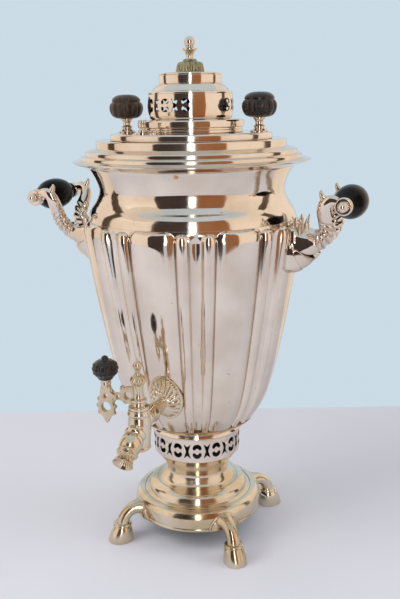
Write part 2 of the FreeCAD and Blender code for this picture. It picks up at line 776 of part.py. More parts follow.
def tap_body():
    top = barrel_top_z
    bottom = barrel_bottom_z
    barrel = turned((0, bottom), (8.6, bottom), ("arc", (9.6, bottom + 1.4), (8.8, bottom + 3)),
                    ("curve", [(9.4, bottom + 9), (barrel_radius, pipe_z), (9.2, top - 6)]),
                    ("arc", (10.6, top - 4), (9.4, top - 2)), (9.4, top), (0, top))
    barrel.translate(barrel_foot)
    pipe_start = V(0, -60, pipe_z)
    length = -barrel_y - 60
    pipe = Part.makeCone(4.8, 7.8, length, pipe_start, V(0, -1, 0))
    spout = along_spout(turned((0, 0), (7.4, 0), (7.4, 9.5), (9.0, 10.5), (9.0, 13.0), (7.2, 13.8),
                               ("curve", [(8.6, 18), (8.8, 23), (6.6, 29)]), (8.4, 30.0), (8.4, 32.4), (6.2, 33.2),
                               ("curve", [(6.6, 36), (7.6, 39.5), (mouth_flare_radius, spout_length)]), (0, spout_length)))
    tap = barrel.fuse([pipe, spout])
    bore_bottom = plug_radius(bottom - 1) + plug_clearance
    bore_top = plug_radius(top + 1) + plug_clearance
    bore = Part.makeCone(bore_bottom, bore_top, top - bottom + 2, V(0, barrel_y, bottom - 1), AXIS)
    water = cylinder(pipe_bore_radius, V(0, -50, pipe_z), V(0, -1, 0), -barrel_y - 50)
    outlet = cylinder(spout_way_radius, spout_root, spout_direction, spout_length + 2)
    mouth_start = spout_root + spout_direction * (spout_length - spout_mouth_depth)
    outlet = outlet.fuse(cylinder(spout_mouth_radius, mouth_start, spout_direction, spout_mouth_depth + 2))
    tap = tap.cut(bore).cut(water).cut(outlet)
    return tap.cut(rosette_solid()).cut(body_outside)


def rosette_solid():
    """A fluted dome on the body, oval in front view, drawn in XZ and pushed out along -Y."""
    def ring(y, share, ripple):
        edges = []
        width = 360.0 / rosette_flutes

        def place(angle, extra):
            turn = math.radians(angle)
            return V((rosette_radius * share + extra) * math.cos(turn), y,
                     rosette_z + (rosette_height_radius * share + extra) * math.sin(turn))
        for flute in range(rosette_flutes):
            angle = flute * width
            edges.append(Part.Arc(place(angle, 0.0), place(angle + width / 2, ripple), place(angle + width, 0.0)).toShape())
        return Part.Wire(edges)
    back = -58.0
    face = -78.5
    dome = Part.makeLoft([ring(back, 1.0, 0.9), ring(face, 1.0, 0.9), ring(face - 4.2, 0.82, 0.8),
                          ring(face - 7.2, 0.55, 0.5), ring(face - rosette_depth, 0.3, 0.2)], True, True)
    return dome


def tap_rosette():
    pipe_hole = Part.makeCone(4.8 + seat_clearance, 7.8 + seat_clearance, -barrel_y - 60, V(0, -60, pipe_z), V(0, -1, 0))
    return rosette_solid().cut(body_outside).cut(pipe_hole)


# Tap key
def key_plug():
    bottom = barrel_bottom_z - 3.0
    top = barrel_top_z
    plug = turned((0, bottom), (4.0, bottom), (plug_radius(barrel_bottom_z), barrel_bottom_z - 0.4),
                  (plug_radius(top), top), (plug_radius(top), top + 0.1), (9.0, top + 0.1), (9.0, top + 2.6),
                  (5.6, top + 3.4), (5.0, top + 6.0), (7.0, top + 7.4), (7.0, top + 9.0), (4.6, top + 10.2),
                  (4.2, top + 21.0), ("arc", (7.6, top + 26), (3.0, top + 31.0)), (2.2, top + 35.5),
                  ("arc", (4.0, top + 39.5), (1.4, top + 43.4)), (0.8, key_tip_z), (0, key_tip_z))
    plug.translate(barrel_foot)
    cross_hole = cylinder(pipe_bore_radius, V(-10, barrel_y, pipe_z), V(1, 0, 0), 20)
    return plug.cut(cross_hole)


def key_branch():
    """A pierced scroll plate in the XZ plane that reaches to -X, with the knob's column at its end."""
    def place(point):
        return V(-point[0], barrel_y - key_plate_thickness / 2, point[1])
    reach = key_reach
    low = key_column_bottom_z
    edges, end = edges_along(
        (3.0, 186.5), [("arc", (7.5, 185.6), (12.0, 186.5)), ("arc", (18.5, 188.5), (reach - 6.0, 184.0)),
                       ("arc", (reach - 8.5, 177.0), (reach - 5.0, 171.0)), (reach, low), (reach + 5.0, 171.0),
                       ("arc", (reach + 8.5, 180.0), (reach + 5.5, 189.0)), ("arc", (reach + 6.6, 194.0), (reach + 4.2, 199.5)),
                       (reach + 4.2, key_knob_bottom_z), (reach - 4.2, key_knob_bottom_z), (reach - 4.2, 198.0),
                       ("arc", (20.0, 193.0), (15.0, 199.5)), ("arc", (9.0, 201.5), (3.0, 203.0))], place)
    edges.append(Part.makeLine(place(end), place((3.0, 186.5))))
    plate = Part.Face(Part.Wire(edges)).extrude(V(0, key_plate_thickness, 0))
    holes = [cylinder(3.4, V(-reach, barrel_y - 10, 180.0), V(0, 1, 0), 20),
             cylinder(2.5, V(-reach + 13.2, barrel_y - 10, 190.5), V(0, 1, 0), 20),
             cylinder(2.2, V(-9.6, barrel_y - 10, 193.0), V(0, 1, 0), 20)]
    column = turned((0, key_knob_bottom_z - 9), (3.0, key_knob_bottom_z - 9), (4.6, key_knob_bottom_z - 5),
                    (4.2, key_knob_bottom_z - 2.4), (5.2, key_knob_bottom_z), (0, key_knob_bottom_z))
    column.translate(V(-reach, barrel_y, 0))
    pin = cylinder(2.0, V(-reach, barrel_y, key_knob_bottom_z - 1), AXIS, 12)
    return plate.cut(Part.makeCompound(holes)).fuse([column, pin]).cut(key_plug())


def key_knob():
    knob = fluted_disc(key_knob_radius, 1.0, 10, key_knob_bottom_z, key_knob_top_z - 1.5)
    button = turned((0, key_knob_top_z - 1.5), (3.2, key_knob_top_z - 1.5), ("arc", (2.4, key_knob_top_z + 0.4), (0, key_knob_top_z + 1)))
    knob = knob.fuse(button)
    knob = knob.cut(cylinder(2.0 + seat_clearance, V(0, 0, key_knob_bottom_z - 1), AXIS, 12.5))
    knob.translate(V(-key_reach, barrel_y, 0))
    return knob


os.makedirs("parts", exist_ok=True)
save("base_skirt", base_skirt())
save("pedestal", pedestal())
save("vent_gallery", vent_gallery())
save("under_bowl", under_bowl())
save("body_floor", body_floor())
save("body_wall", body_wall())
save("upper_neck", upper_neck())
save("top_ring", top_ring())
save("fire_tube", fire_tube())
save("fire_grate", fire_grate())

foot = hoof_foot()
for name, angle in (("front_right", -45.0), ("back_right", 45.0), ("back_left", 135.0), ("front_left", -135.0)):
    save("foot_" + name, at_azimuth(foot, angle))

arm = handle_arm()
save("arm_right_back", arm)
save("arm_right_front", mirrored(arm, V(0, 1, 0)))
save("arm_left_back", mirrored(arm, V(1, 0, 0)))
save("arm_left_front", at_azimuth(arm, 180.0))
for name, angle in (("right", 0.0), ("left", 180.0)):
    save("grip_" + name, at_azimuth(handle_grip(), angle))
    save("grip_rod_" + name, at_azimuth(handle_rod(), angle))
save("rod_ball_nuts", rod_balls())

save("lid", lid())
save("lid_collar", lid_collar())
for name, angle in knob_azimuths.items():
    save("lid_knob_stem_" + name, knob_stem(angle))
    save("lid_knob_" + name, lid_knob(angle))
save("lid_knob_nuts", lid_knob_nuts())
save("vent_seat", vent_seat())
save("vent_cap", vent_cap())

save("crown_foot", crown_foot())
save("crown_drum", crown_drum())
save("crown_shoulder", crown_shoulder())
save("damper_cap", damper_cap())
save("leaf_cup", leaf_cup())
save("finial", finial())

save("tap_rosette", tap_rosette())
save("tap_body", tap_body())
save("key_plug", key_plug())
save("key_branch", key_branch())
save("key_knob", key_knob())
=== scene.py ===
# %% [markdown]
# # A charcoal samovar in plated brass
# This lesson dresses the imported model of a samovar. Its solids already have the right size and
# joints. Here every visible piece gets a finer mesh and a finish like the real one: old nickel
# plate, worn brass, black lacquer and dark carved wood. First comes the fixed frame. It is never
# moved, and everything else is laid over it.

# %% Load the frame
from math import acos, cos, dist, exp, pi, radians, sin, sqrt

import bmesh
import bpy
import numpy as np
from mathutils import Matrix, Vector
from mathutils.geometry import delaunay_2d_cdt


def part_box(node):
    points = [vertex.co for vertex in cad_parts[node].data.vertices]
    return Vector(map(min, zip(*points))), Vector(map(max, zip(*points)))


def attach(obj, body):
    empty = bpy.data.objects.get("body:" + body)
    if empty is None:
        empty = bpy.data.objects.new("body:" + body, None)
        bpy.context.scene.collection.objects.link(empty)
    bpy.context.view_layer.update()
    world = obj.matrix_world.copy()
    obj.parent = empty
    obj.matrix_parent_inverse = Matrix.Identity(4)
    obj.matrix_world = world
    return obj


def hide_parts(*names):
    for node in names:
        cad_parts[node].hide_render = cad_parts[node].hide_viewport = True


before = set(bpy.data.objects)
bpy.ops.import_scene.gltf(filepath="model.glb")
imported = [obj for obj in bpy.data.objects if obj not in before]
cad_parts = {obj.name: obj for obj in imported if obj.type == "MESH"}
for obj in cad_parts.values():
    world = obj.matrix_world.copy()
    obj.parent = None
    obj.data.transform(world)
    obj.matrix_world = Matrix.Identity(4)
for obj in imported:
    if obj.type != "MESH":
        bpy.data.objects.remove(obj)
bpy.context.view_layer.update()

# %% [markdown]
# ## The camera
# The photo was taken from a little to the right of the tap, looking slightly down. A camera that
# stands in the same place makes every later comparison honest, so it comes before any shape. A few
# plain measures place it: its distance from the axis, its height, how far round from the tap it is,
# and how much it tips. A small roll copies the tilt of the picture.

# %% Stand the camera where the photo was taken
mm = 0.001
camera_turn = radians(21)
camera_distance = 0.743
camera_height = 0.434
camera_sideways = 0.0057
camera_tip = radians(14.18)
camera_roll = radians(0.96)

ahead = Vector((-sin(camera_turn), cos(camera_turn), 0))
rightwards = Vector((cos(camera_turn), sin(camera_turn), 0))
looking = ahead * cos(camera_tip) - Vector((0, 0, sin(camera_tip)))
upwards = rightwards.cross(looking)
camera_right = rightwards * cos(camera_roll) - upwards * sin(camera_roll)
camera_up = upwards * cos(camera_roll) + rightwards * sin(camera_roll)
camera_place = -camera_distance * ahead + camera_sideways * rightwards + Vector((0, 0, camera_height))


def in_scene(name, data):
    """A new object with its mesh, lens or lamp."""
    thing = bpy.data.objects.new(name, data)
    bpy.context.collection.objects.link(thing)
    return thing


lens = bpy.data.cameras.new("photo_camera")
lens.sensor_fit = "VERTICAL"
lens.sensor_height = 36
lens.lens = 45.76
camera = in_scene("photo_camera", lens)
camera.matrix_world = Matrix.Translation(camera_place) @ Matrix(
    (camera_right, camera_up, -looking)).transposed().to_4x4()
bpy.context.scene.camera = camera
bpy.context.scene.view_settings.view_transform = "Standard"
print("camera at", [round(value, 3) for value in camera_place])

# %% [markdown]
# ## The finishes
# Each finish is a small network of nodes on one shader. The metals show three kinds of wear: slow
# clouds where hands have dulled them, small dark tarnish spots, and dirt that stays in the hollows
# where no cloth reaches. Only colours and amounts differ between plate, brass and iron, so one
# function makes them all.

# %% A network to start every finish
finishes = {}


def new_finish(name):
    material = bpy.data.materials.new(name)
    material.use_nodes = True
    return material, material.node_tree, material.node_tree.nodes["Principled BSDF"]


def feed(tree, node, **values):
    """Give a node's inputs fixed values, or link them to the outputs of other nodes. In an input's
    name, an underscore stands for a space."""
    for name, value in values.items():
        socket = node.inputs[name.replace("_", " ")]
        if isinstance(value, bpy.types.NodeSocket):
            tree.links.new(value, socket)
        else:
            socket.default_value = value
    return node


def add_node(tree, kind, **values):
    return feed(tree, tree.nodes.new("ShaderNode" + kind), **values)


def noise(tree, scale, detail=3, stretch=(1, 1, 1)):
    """Cloudy values in the piece's own space, so a scale of 100 has features of about 10 mm."""
    place = add_node(tree, "TexCoord").outputs["Object"]
    stretched = add_node(tree, "Mapping", Vector=place, Scale=stretch).outputs["Vector"]
    return add_node(tree, "TexNoise", Vector=stretched, Scale=scale, Detail=detail).outputs["Fac"]


def between(tree, value, low, high, low_result=0, high_result=1):
    ramp = add_node(tree, "MapRange", Value=value, From_Min=low, From_Max=high, To_Min=low_result,
                    To_Max=high_result)
    return ramp.outputs["Result"]


def blend_colours(tree, share, first, second):
    """Mix two colours, each a fixed colour or the output of an earlier mix."""
    mix = tree.nodes.new("ShaderNodeMix")
    mix.data_type = "RGBA"
    feed(tree, mix, Factor=share)
    for socket, colour in ((mix.inputs[6], first), (mix.inputs[7], second)):
        if isinstance(colour, bpy.types.NodeSocket):
            tree.links.new(colour, socket)
        else:
            socket.default_value = (*colour, 1)
    return mix.outputs[2]


def roughened(tree, height, distance):
    """A surface that is raised by up to so many metres where height is 1."""
    return add_node(tree, "Bump", Strength=1, Distance=distance, Height=height).outputs["Normal"]


# %% Metals: clean colour, dull colour, dirt in the hollows
def metal_finish(name, clean, dull, dirt, smooth, rough, dents=0.00012, spots=0.7):
    """clean, dull and dirt are colours. A lower spots value makes more tarnish spots."""
    material, tree, shader = new_finish(name)
    clouds = between(tree, noise(tree, 22, 4), 0.42, 0.62)
    colour = blend_colours(tree, clouds, clean, dull)
    tarnish = between(tree, noise(tree, 260, 5), spots, spots + 0.08, 0, 0.55)
    colour = blend_colours(tree, tarnish, colour, dirt)
    hollows = between(tree, add_node(tree, "NewGeometry").outputs["Pointiness"], 0.4, 0.485, 0.85, 0)
    wiping = between(tree, noise(tree, 70, 5, (1, 1, 0.35)), 0.3, 0.75, smooth, rough)
    feed(tree, shader, Base_Color=blend_colours(tree, hollows, colour, dirt), Metallic=1, Roughness=wiping,
         Normal=roughened(tree, noise(tree, 55, 6), dents))
    finishes[name] = material


metal_finish("plated_metal", (0.83, 0.73, 0.63), (0.73, 0.63, 0.53), (0.22, 0.15, 0.1),
             smooth=0.05, rough=0.15, dents=0.00008)
metal_finish("worn_brass", (0.77, 0.675, 0.53), (0.6, 0.475, 0.315), (0.14, 0.09, 0.04),
             smooth=0.1, rough=0.26)
metal_finish("tarnished_brass", (0.46, 0.42, 0.26), (0.21, 0.22, 0.14), (0.05, 0.05, 0.03),
             smooth=0.28, rough=0.5, dents=0.0003, spots=0.56)
metal_finish("inner_brass", (0.42, 0.3, 0.15), (0.2, 0.13, 0.07), (0.03, 0.025, 0.02),
             smooth=0.38, rough=0.6)
metal_finish("sooty_iron", (0.08, 0.075, 0.07), (0.04, 0.036, 0.034), (0.1, 0.05, 0.03),
             smooth=0.55, rough=0.8)
print("metals ready")


# %% [markdown]
# The grips are turned and lacquered black, and they must stay black in a bright room, so they
# reflect little. The knobs are carved and oiled, two of them almost black and one brown. Their grain
# is a noise pulled long in one direction. It shows in the colour and as fine raised lines.

# %% Woods: black lacquer and two carved woods
def wood_finish(name, dark, brown, smooth, rough, grain, depth, coat, gloss=0.4):
    """grain stretches the noise, and depth is how far its lines stand out, in metres."""
    material, tree, shader = new_finish(name)
    lines = noise(tree, 95, 6, grain)
    wiping = between(tree, noise(tree, 140, 4), 0.3, 0.7, smooth, rough)
    feed(tree, shader, Base_Color=blend_colours(tree, between(tree, lines, 0.35, 0.68), dark, brown),
         Roughness=wiping, Coat_Weight=coat, Coat_Roughness=0.12, Specular_IOR_Level=gloss,
         Normal=roughened(tree, lines, depth))
    finishes[name] = material


wood_finish("black_lacquered_wood", (0.003, 0.003, 0.003), (0.01, 0.007, 0.006),
            smooth=0.1, rough=0.22, grain=(5, 1, 5), depth=0.00005, coat=0, gloss=0.06)
wood_finish("dark_carved_wood", (0.004, 0.003, 0.003), (0.022, 0.012, 0.008),
            smooth=0.16, rough=0.34, grain=(4, 4, 1), depth=0.0005, coat=0.25)
wood_finish("brown_carved_wood", (0.015, 0.009, 0.006), (0.068, 0.036, 0.021),
            smooth=0.26, rough=0.48, grain=(4, 4, 1), depth=0.0005, coat=0.15)
print("woods ready")

# %% [markdown]
# ## Tools for spun metal
# Most of a samovar is spun: a flat disc is pressed over a turning form until it takes its outline.
# Here an outline of (radius, height) points, in millimetres, is carried round the axis. `flow` draws
# a smooth line through points, `softened` rounds the corners so that each edge catches the light,
# and `sheeted` gives a line the thickness of the metal.

# %% Lines: smooth, rounded and with a thickness
def flow(points, steps=6):
    """A smooth line through all the points (Catmull-Rom), of any number of dimensions."""
    points = np.asarray(points, float)
    ends = np.vstack([2 * points[0] - points[1], points, 2 * points[-1] - points[-2]])
    line = []
    for a, b, c, d in zip(ends, ends[1:], ends[2:], ends[3:]):
        for t in np.arange(steps) / steps:
            line.append(0.5 * (2 * b + (c - a) * t + (2 * a - 5 * b + 4 * c - d) * t ** 2
                               + (3 * b - a - 3 * c + d) * t ** 3))
    return np.array(line + [points[-1]])


def softened(outline, radius=0.5):
    """Round each real corner of a closed outline with a short arc."""
    outline = np.asarray(outline, float)
    count = len(outline)
    rounded = []
    for place, point in enumerate(outline):
        before = outline[place - 1] - point
        after = outline[(place + 1) % count] - point
        long_before, long_after = np.linalg.norm(before), np.linalg.norm(after)
        turn = acos(np.clip(-before @ after / (long_before * long_after), -1, 1))
        if turn < radians(20) or point[0] == 0:
            rounded.append(point)
            continue
        cut = min(radius, 0.4 * long_before, 0.4 * long_after)
        first, last = point + before * cut / long_before, point + after * cut / long_after
        for t in (0, 0.33, 0.67, 1):
            rounded.append((1 - t) ** 2 * first + 2 * t * (1 - t) * point + t ** 2 * last)
    return np.array(rounded)


def sheeted(line, thickness=1.2):
    """Close an open outer line, drawn from the bottom up, into sheet metal."""
    line = np.asarray(line, float)
    run = np.gradient(line, axis=0)
    run /= np.linalg.norm(run, axis=1)[:, None]
    inward = np.column_stack([-run[:, 1], run[:, 0]])
    return np.vstack([line, (line + inward * thickness)[::-1]])


# %% [markdown]
# A mesh is skinned over rings of points. Rings that close on themselves make a turned piece, and
# rings that follow a path make a cast limb. `place_piece` then gives the mesh its finish, ties it to
# its moving body, names it after the solid it stands for, and hides that solid.

# %% Skin rings of points, and put a piece in place
def skinned(rings, closed=False):
    """A mesh over a list of equal rings, in millimetres. Open ends are capped."""
    rings = np.asarray(rings, float)
    rows, around = rings.shape[:2]
    bm = bmesh.new()
    points = [bm.verts.new(point * mm) for point in rings.reshape(-1, 3)]
    for row in range(rows if closed else rows - 1):
        below, above = row * around, (row + 1) % rows * around
        for step in range(around):
            after = (step + 1) % around
            corners = (below + step, below + after, above + after, above + step)
            bm.faces.new([points[corner] for corner in corners])
    if not closed:
        bm.faces.new(points[:around][::-1])
        bm.faces.new(points[-around:])
    bmesh.ops.remove_doubles(bm, verts=bm.verts, dist=0.000002)
    bmesh.ops.dissolve_degenerate(bm, edges=bm.edges, dist=0.000001)
    bmesh.ops.recalc_face_normals(bm, faces=bm.faces)
    for face in bm.faces:
        face.smooth = True
    return bm


def place_piece(node, made, parts, body="root", slot="plated_metal", finish=None, sharp=None,
                dark_inside=False, name=None):
    """Join the bmesh parts into one object that stands for a node of the model. Its name is the
    node's name and how the piece is made. dark_inside puts soot on the faces that look inwards."""
    name = (name or node) + "_" + made
    mesh = bpy.data.meshes.new(name)
    whole = bmesh.new()
    for part in parts if isinstance(parts, list) else [parts]:
        part.to_mesh(mesh)
        whole.from_mesh(mesh)
        part.free()
    whole.to_mesh(mesh)
    whole.free()
    mesh.materials.clear()
    mesh.materials.append(finishes[finish or slot])
    if dark_inside:
        mesh.materials.append(finishes["sooty_iron"])
        for face in mesh.polygons:
            out = Vector((face.center.x, face.center.y, 0)).normalized()
            face.material_index = 1 if face.normal.dot(out) < -0.25 else 0
    if sharp:
        mesh.set_sharp_from_angle(angle=radians(sharp))
    piece = in_scene(name, mesh)
    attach(piece, body)
    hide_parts(node)


def all_round(count):
    """Even angles round a circle, in radians."""
    return np.arange(count) * 2 * pi / count


def oval(across, up, middle, count):
    return [(middle[0] + across * cos(turn), middle[1] + up * sin(turn)) for turn in all_round(count)]


def ring_at(height, radii, angles):
    """A level ring of points. radii is one radius, or one for each angle."""
    return np.column_stack([radii * np.cos(angles), radii * np.sin(angles), np.full(len(angles), height)])


def turned(outline, around=144, ripple=None):
    """Carry a closed outline round the Z axis. ripple(height, angles) adds to the radius."""
    angles = all_round(around)
    rings = []
    for radius, height in outline:
        ripples = ripple(height, angles) if ripple and radius > 0 else 0
        rings.append(ring_at(height, radius + ripples, angles))
    return skinned(rings, closed=True)


def turn_piece(node, made, outline, soft=0.5, around=144, body="root", **looks):
    """Soften an outline, turn it and place it."""
    place_piece(node, made, turned(softened(outline, soft), around), body, **looks)


def ribs(lobes, heights, depths, sharpness=0.6):
    """A ripple of 2 * lobes ribs with narrow cuts between them, so deep at each of the heights."""
    def ripple(height, angles):
        depth = np.interp(height, heights, depths)
        return -depth * (1 - np.abs(np.cos(lobes * angles)) ** sharpness)
    return ripple


def moved(bm, place=(0, 0, 0), turn=None):
    """Turn a part, then move it by a place in millimetres."""
    if turn is not None:
        bm.transform(turn.to_4x4())
    bm.transform(Matrix.Translation(Vector(place) * mm))
    return bm


# %% [markdown]
# ## Base and pedestal
# The base is a low spun dome with a step, and the pedestal is a bell that narrows to a waist. A thin
# line was cut low in the base on the lathe. It is a real groove here, because a groove keeps its
# dark line from every side.

# %% Spin the base skirt and the pedestal
def groove(radius, height, depth=0.5, width=0.7):
    """Three points of a shallow cut in an upright wall."""
    return [(radius, height - width), (radius - depth, height), (radius, height + width)]


base_sheet = 1.6
skirt_line = [
    (64.4, 23), (65.2, 24), *groove(65.3, 26.6), (65.6, 29), (65.6, 33), (65.2, 37), (64.2, 39.8),
    (62.4, 42.2), (60, 43.5), (57.6, 44), (56.2, 44.2), (55.6, 43.9), (55, 44.4), (51.7, 45.4),
    (51.4, 46.4), (51, 48.6), (49.6, 51.2), (46.6, 53.6), (43.2, 55), (41.5, 55.5)]
turn_piece("base_skirt", "spun", sheeted(skirt_line, base_sheet), slot="worn_brass", dark_inside=True)
pedestal_line = flow([
    (41.5, 55.5), (37.4, 57.2), (34.2, 60.5), (31.4, 66), (33.6, 74), (39.6, 82.5), (44.6, 89)], 8)
turn_piece("pedestal", "spun", sheeted(pedestal_line, base_sheet), slot="worn_brass", dark_inside=True)
print("base skirt and pedestal spun")

# %% [markdown]
# ## Pierced bands
# The gallery over the pedestal lets air in under the fire, and the crown's drum lets the hot
# air out. Both are bands with rows of fretted holes: a pair of kidneys that face each other, and a
# four pointed star between. A boolean cut on a curved band leaves ragged shading, so each cell is
# drawn flat, filled with even triangles around its hole, and only then wrapped round the axis.

# %% Outlines of the two fretted holes
def kidney(width, height, sign):
    """Half an ellipse with round ends and a notch in its flat side. sign 1 is the upper one."""
    arch = [(cos(turn), 0.42 + 0.58 * sin(turn)) for turn in np.linspace(0, pi, 13)]
    flat_side = [(-0.9, 0.26), (-0.66, 0.18), (-0.4, 0.24), (-0.22, 0.38), (0, 0.44),
                 (0.22, 0.38), (0.4, 0.24), (0.66, 0.18), (0.9, 0.26)]
    return [(width / 2 * x, sign * height / 2 * y) for x, y in arch + flat_side]


def star(width, height):
    half, tall = width / 2, height / 2
    tips = [(half, tall), (0, tall * 0.62), (-half, tall), (-half * 0.36, 0),
            (-half, -tall), (0, -tall * 0.62), (half, -tall), (half * 0.36, 0)]
    line = []
    for first, last in zip(tips, tips[1:] + tips[:1]):
        for t in (0, 0.33, 0.67):
            line.append((first[0] + (last[0] - first[0]) * t, first[1] + (last[1] - first[1]) * t))
    return line


# %% Fill flat shapes around their holes, and wrap a row of cells round the axis
def inside(point, outline):
    crossings = 0
    for (ax, ay), (bx, by) in zip(outline, outline[1:] + outline[:1]):
        if (ay > point[1]) != (by > point[1]) and point[0] < ax + (point[1] - ay) * (bx - ax) / (by - ay):
            crossings += 1
    return crossings % 2 == 1


def filled(outline, holes, more_points=()):
    """Fill a flat outline with triangles around its holes. Returns the points and the triangles."""
    points, edges = [], []
    for line in [outline] + holes:
        start = len(points)
        points += line
        edges += [(start + n, start + (n + 1) % len(line)) for n in range(len(line))]
    points += more_points
    found, _, triangles, _, _, _ = delaunay_2d_cdt([Vector(point) for point in points], edges, [], 0, 0.0001)
    kept = []
    for triangle in triangles:
        middle = sum((found[corner] for corner in triangle), Vector((0, 0))) / len(triangle)
        if inside(middle, outline) and not any(inside(middle, hole) for hole in holes):
            kept.append(triangle)
    return found, kept


def fretted_cell(width, bottom, top, holes, mesh_size=1.5, margin=0.6):
    """A flat rectangle with holes, filled. x runs over the width, y is the height. No point of the
    even mesh lies nearer to a hole than the margin."""
    across = np.linspace(-width / 2, width / 2, max(3, round(width / mesh_size)) + 1)
    up = np.linspace(bottom, top, max(3, round((top - bottom) / mesh_size)) + 1)
    rim = [(x, bottom) for x in across] + [(width / 2, y) for y in up[1:]]
    rim += [(x, top) for x in across[-2::-1]] + [(-width / 2, y) for y in up[-2:0:-1]]

    def clear(point):
        return not any(inside(point, hole) or min(dist(point, spot) for spot in hole) < margin
                       for hole in holes)

    return filled(rim, holes, [(x, y) for x in across[1:-1] for y in up[1:-1] if clear((x, y))])


def thickened(bm, shift):
    """Close an open sheet with a back, at shift(place) from its front, and with walls at its rims."""
    rims = [edge for edge in bm.edges if edge.is_boundary]
    back = {vert: bm.verts.new(vert.co + shift(vert.co)) for vert in list(bm.verts)}
    for face in list(bm.faces):
        bm.faces.new([back[vert] for vert in reversed(face.verts)]).smooth = True
        face.smooth = True
    for rim in rims:
        a, b = rim.verts
        bm.faces.new([a, b, back[b], back[a]])
    bmesh.ops.recalc_face_normals(bm, faces=bm.faces)


def read_line(line, height):
    """The radius at a height, from a line of (height, radius) points."""
    return np.interp(height, line[:, 0], line[:, 1])


def fretted_band(cells, profile, start, thickness=1.2):
    """cells are (degrees, (points, triangles), width) in order round the axis, from start degrees.
    profile is a line of (height, radius) points."""
    bm = bmesh.new()
    angle = start
    for degrees, (points, triangles), width in cells:
        placed = []
        for x, z in points:
            turn = radians(angle + degrees * (x / width + 0.5))
            radius = read_line(profile, z)
            placed.append(bm.verts.new(Vector((radius * cos(turn), radius * sin(turn), z)) * mm))
        for triangle in triangles:
            bm.faces.new([placed[corner] for corner in triangle])
        angle += degrees
    bmesh.ops.remove_doubles(bm, verts=bm.verts, dist=0.00002)
    bmesh.ops.recalc_face_normals(bm, faces=bm.faces)
    if sum(face.normal.dot(face.calc_center_median()) for face in bm.faces) < 0:
        bmesh.ops.reverse_faces(bm, faces=bm.faces)
    thickened(bm, lambda place: -Vector((place.x, place.y, 0)).normalized() * thickness * mm)
    return bm


def fretted_pair(degrees, radius, bottom, top, middle, motif_height, kidney_width, star_width):
    """The cell with two kidneys and the cell with one star, each of them so many degrees wide."""
    width = radians(degrees) * radius
    kidneys = [kidney(kidney_width, motif_height, 1), kidney(kidney_width, motif_height, -1)]
    cells = []
    for holes in (kidneys, [star(star_width, motif_height)]):
        lifted = [[(x, y + middle) for x, y in hole] for hole in holes]
        cells.append((degrees, fretted_cell(width, bottom, top, lifted), width))
    return cells


# %% The vent gallery: fourteen kidney pairs and fourteen stars
gallery_pairs = 14
gallery_radius = 44.6
gallery_cell = 180 / gallery_pairs
pair_facing_camera = -90 + 21.4
gallery_bottom, gallery_top = 89, 113
gallery_profile = np.array([(gallery_bottom, gallery_radius), (gallery_top, gallery_radius)])
gallery_cells = fretted_pair(gallery_cell, gallery_radius, gallery_bottom, gallery_top, middle=101,
                             motif_height=15.4, kidney_width=9.2, star_width=7.2) * gallery_pairs
gallery = fretted_band(gallery_cells, gallery_profile, pair_facing_camera - gallery_cell / 2)
place_piece("vent_gallery", "fretted", gallery, sharp=40, dark_inside=True)
bowl_line = [
    *flow([(44.6, 113), (47.4, 113.9), (48.2, 115.4), (47, 117.6)], 4),
    *flow([(46.6, 118.2), (48.6, 119.6), (52, 121), (55.6, 123.4), (58, 126.6)], 5)]
turn_piece("under_bowl", "spun", sheeted(bowl_line), 0.3, dark_inside=True)
print("gallery and under bowl made")

# %% [markdown]
# ## The lobed body
# The body is a cone beaten into eight wide panels, with a pair of narrow reeds between neighbours
# and a hollow flute between the two reeds. Every lobe swells out of a plain flared surface and ends
# in a round arch at the top. Its swelling is a bulge across the lobe times a fall at its top. The
# mesh's columns stand exactly on the valley lines, which keeps those creases sharp.

# %% Radius of the body at any height and angle
crest_line = flow([
    (128, 60), (143, 69.4), (160, 76.5), (190, 84.3), (226, 91.5), (264, 98.2), (301.5, 104),
    (318, 106.4), (324, 106.4)], 8)
plain_line = flow([
    (128, 57.8), (143, 66.4), (160, 73.2), (190, 80.5), (226, 87.3), (264, 93.6), (301.5, 99), (318, 101),
    (325, 101.6), (331, 101.3)], 8)
lobe_pitch = 45
lobe_count = 8
panel_half = 12.5
reed_half = 3.5
flute_half = lobe_pitch / 2 - panel_half - 2 * reed_half
flute_share, flute_fade = 0.3, 8
arch_fall = 5.5
panel_top = 330.6
reed_top = 329


def lobe_swell(height, across, half, top, fullness, corner=9):
    """Share of the full swelling at a place in a lobe. across is in degrees from its middle, and
    corner is the radius of the arch at its top."""
    plain = read_line(plain_line, height)
    bulge = np.clip(1 - (across / half) ** 2, 0, 1) ** fullness
    sideways = radians(abs(across)) * plain
    wide = radians(half) * plain
    corner = min(corner, wide)
    past = max(0, sideways - (wide - corner))
    arch = top - (corner - sqrt(max(0, corner ** 2 - past ** 2)))
    fall = np.clip((height - (arch - arch_fall)) / arch_fall, 0, 1)
    return bulge * sqrt(1 - fall ** 2)


def body_radius(height, angle):
    """angle is in degrees. The middle of a wide panel is at 0."""
    around = (angle + lobe_pitch / 2) % lobe_pitch - lobe_pitch / 2
    plain = read_line(plain_line, height)
    swelling = read_line(crest_line, height) - plain
    if abs(around) <= panel_half:
        return plain + swelling * lobe_swell(height, around, panel_half, panel_top, fullness=0.75)
    reed = abs(around) - panel_half - reed_half
    if abs(reed) <= reed_half:
        return plain + swelling * lobe_swell(height, reed, reed_half, reed_top, fullness=0.62)
    flute = (lobe_pitch / 2 - abs(around)) / flute_half
    fade = min(1, max(0, (reed_top - height) / flute_fade))
    return plain - flute_share * swelling * max(0, 1 - flute ** 2) * fade


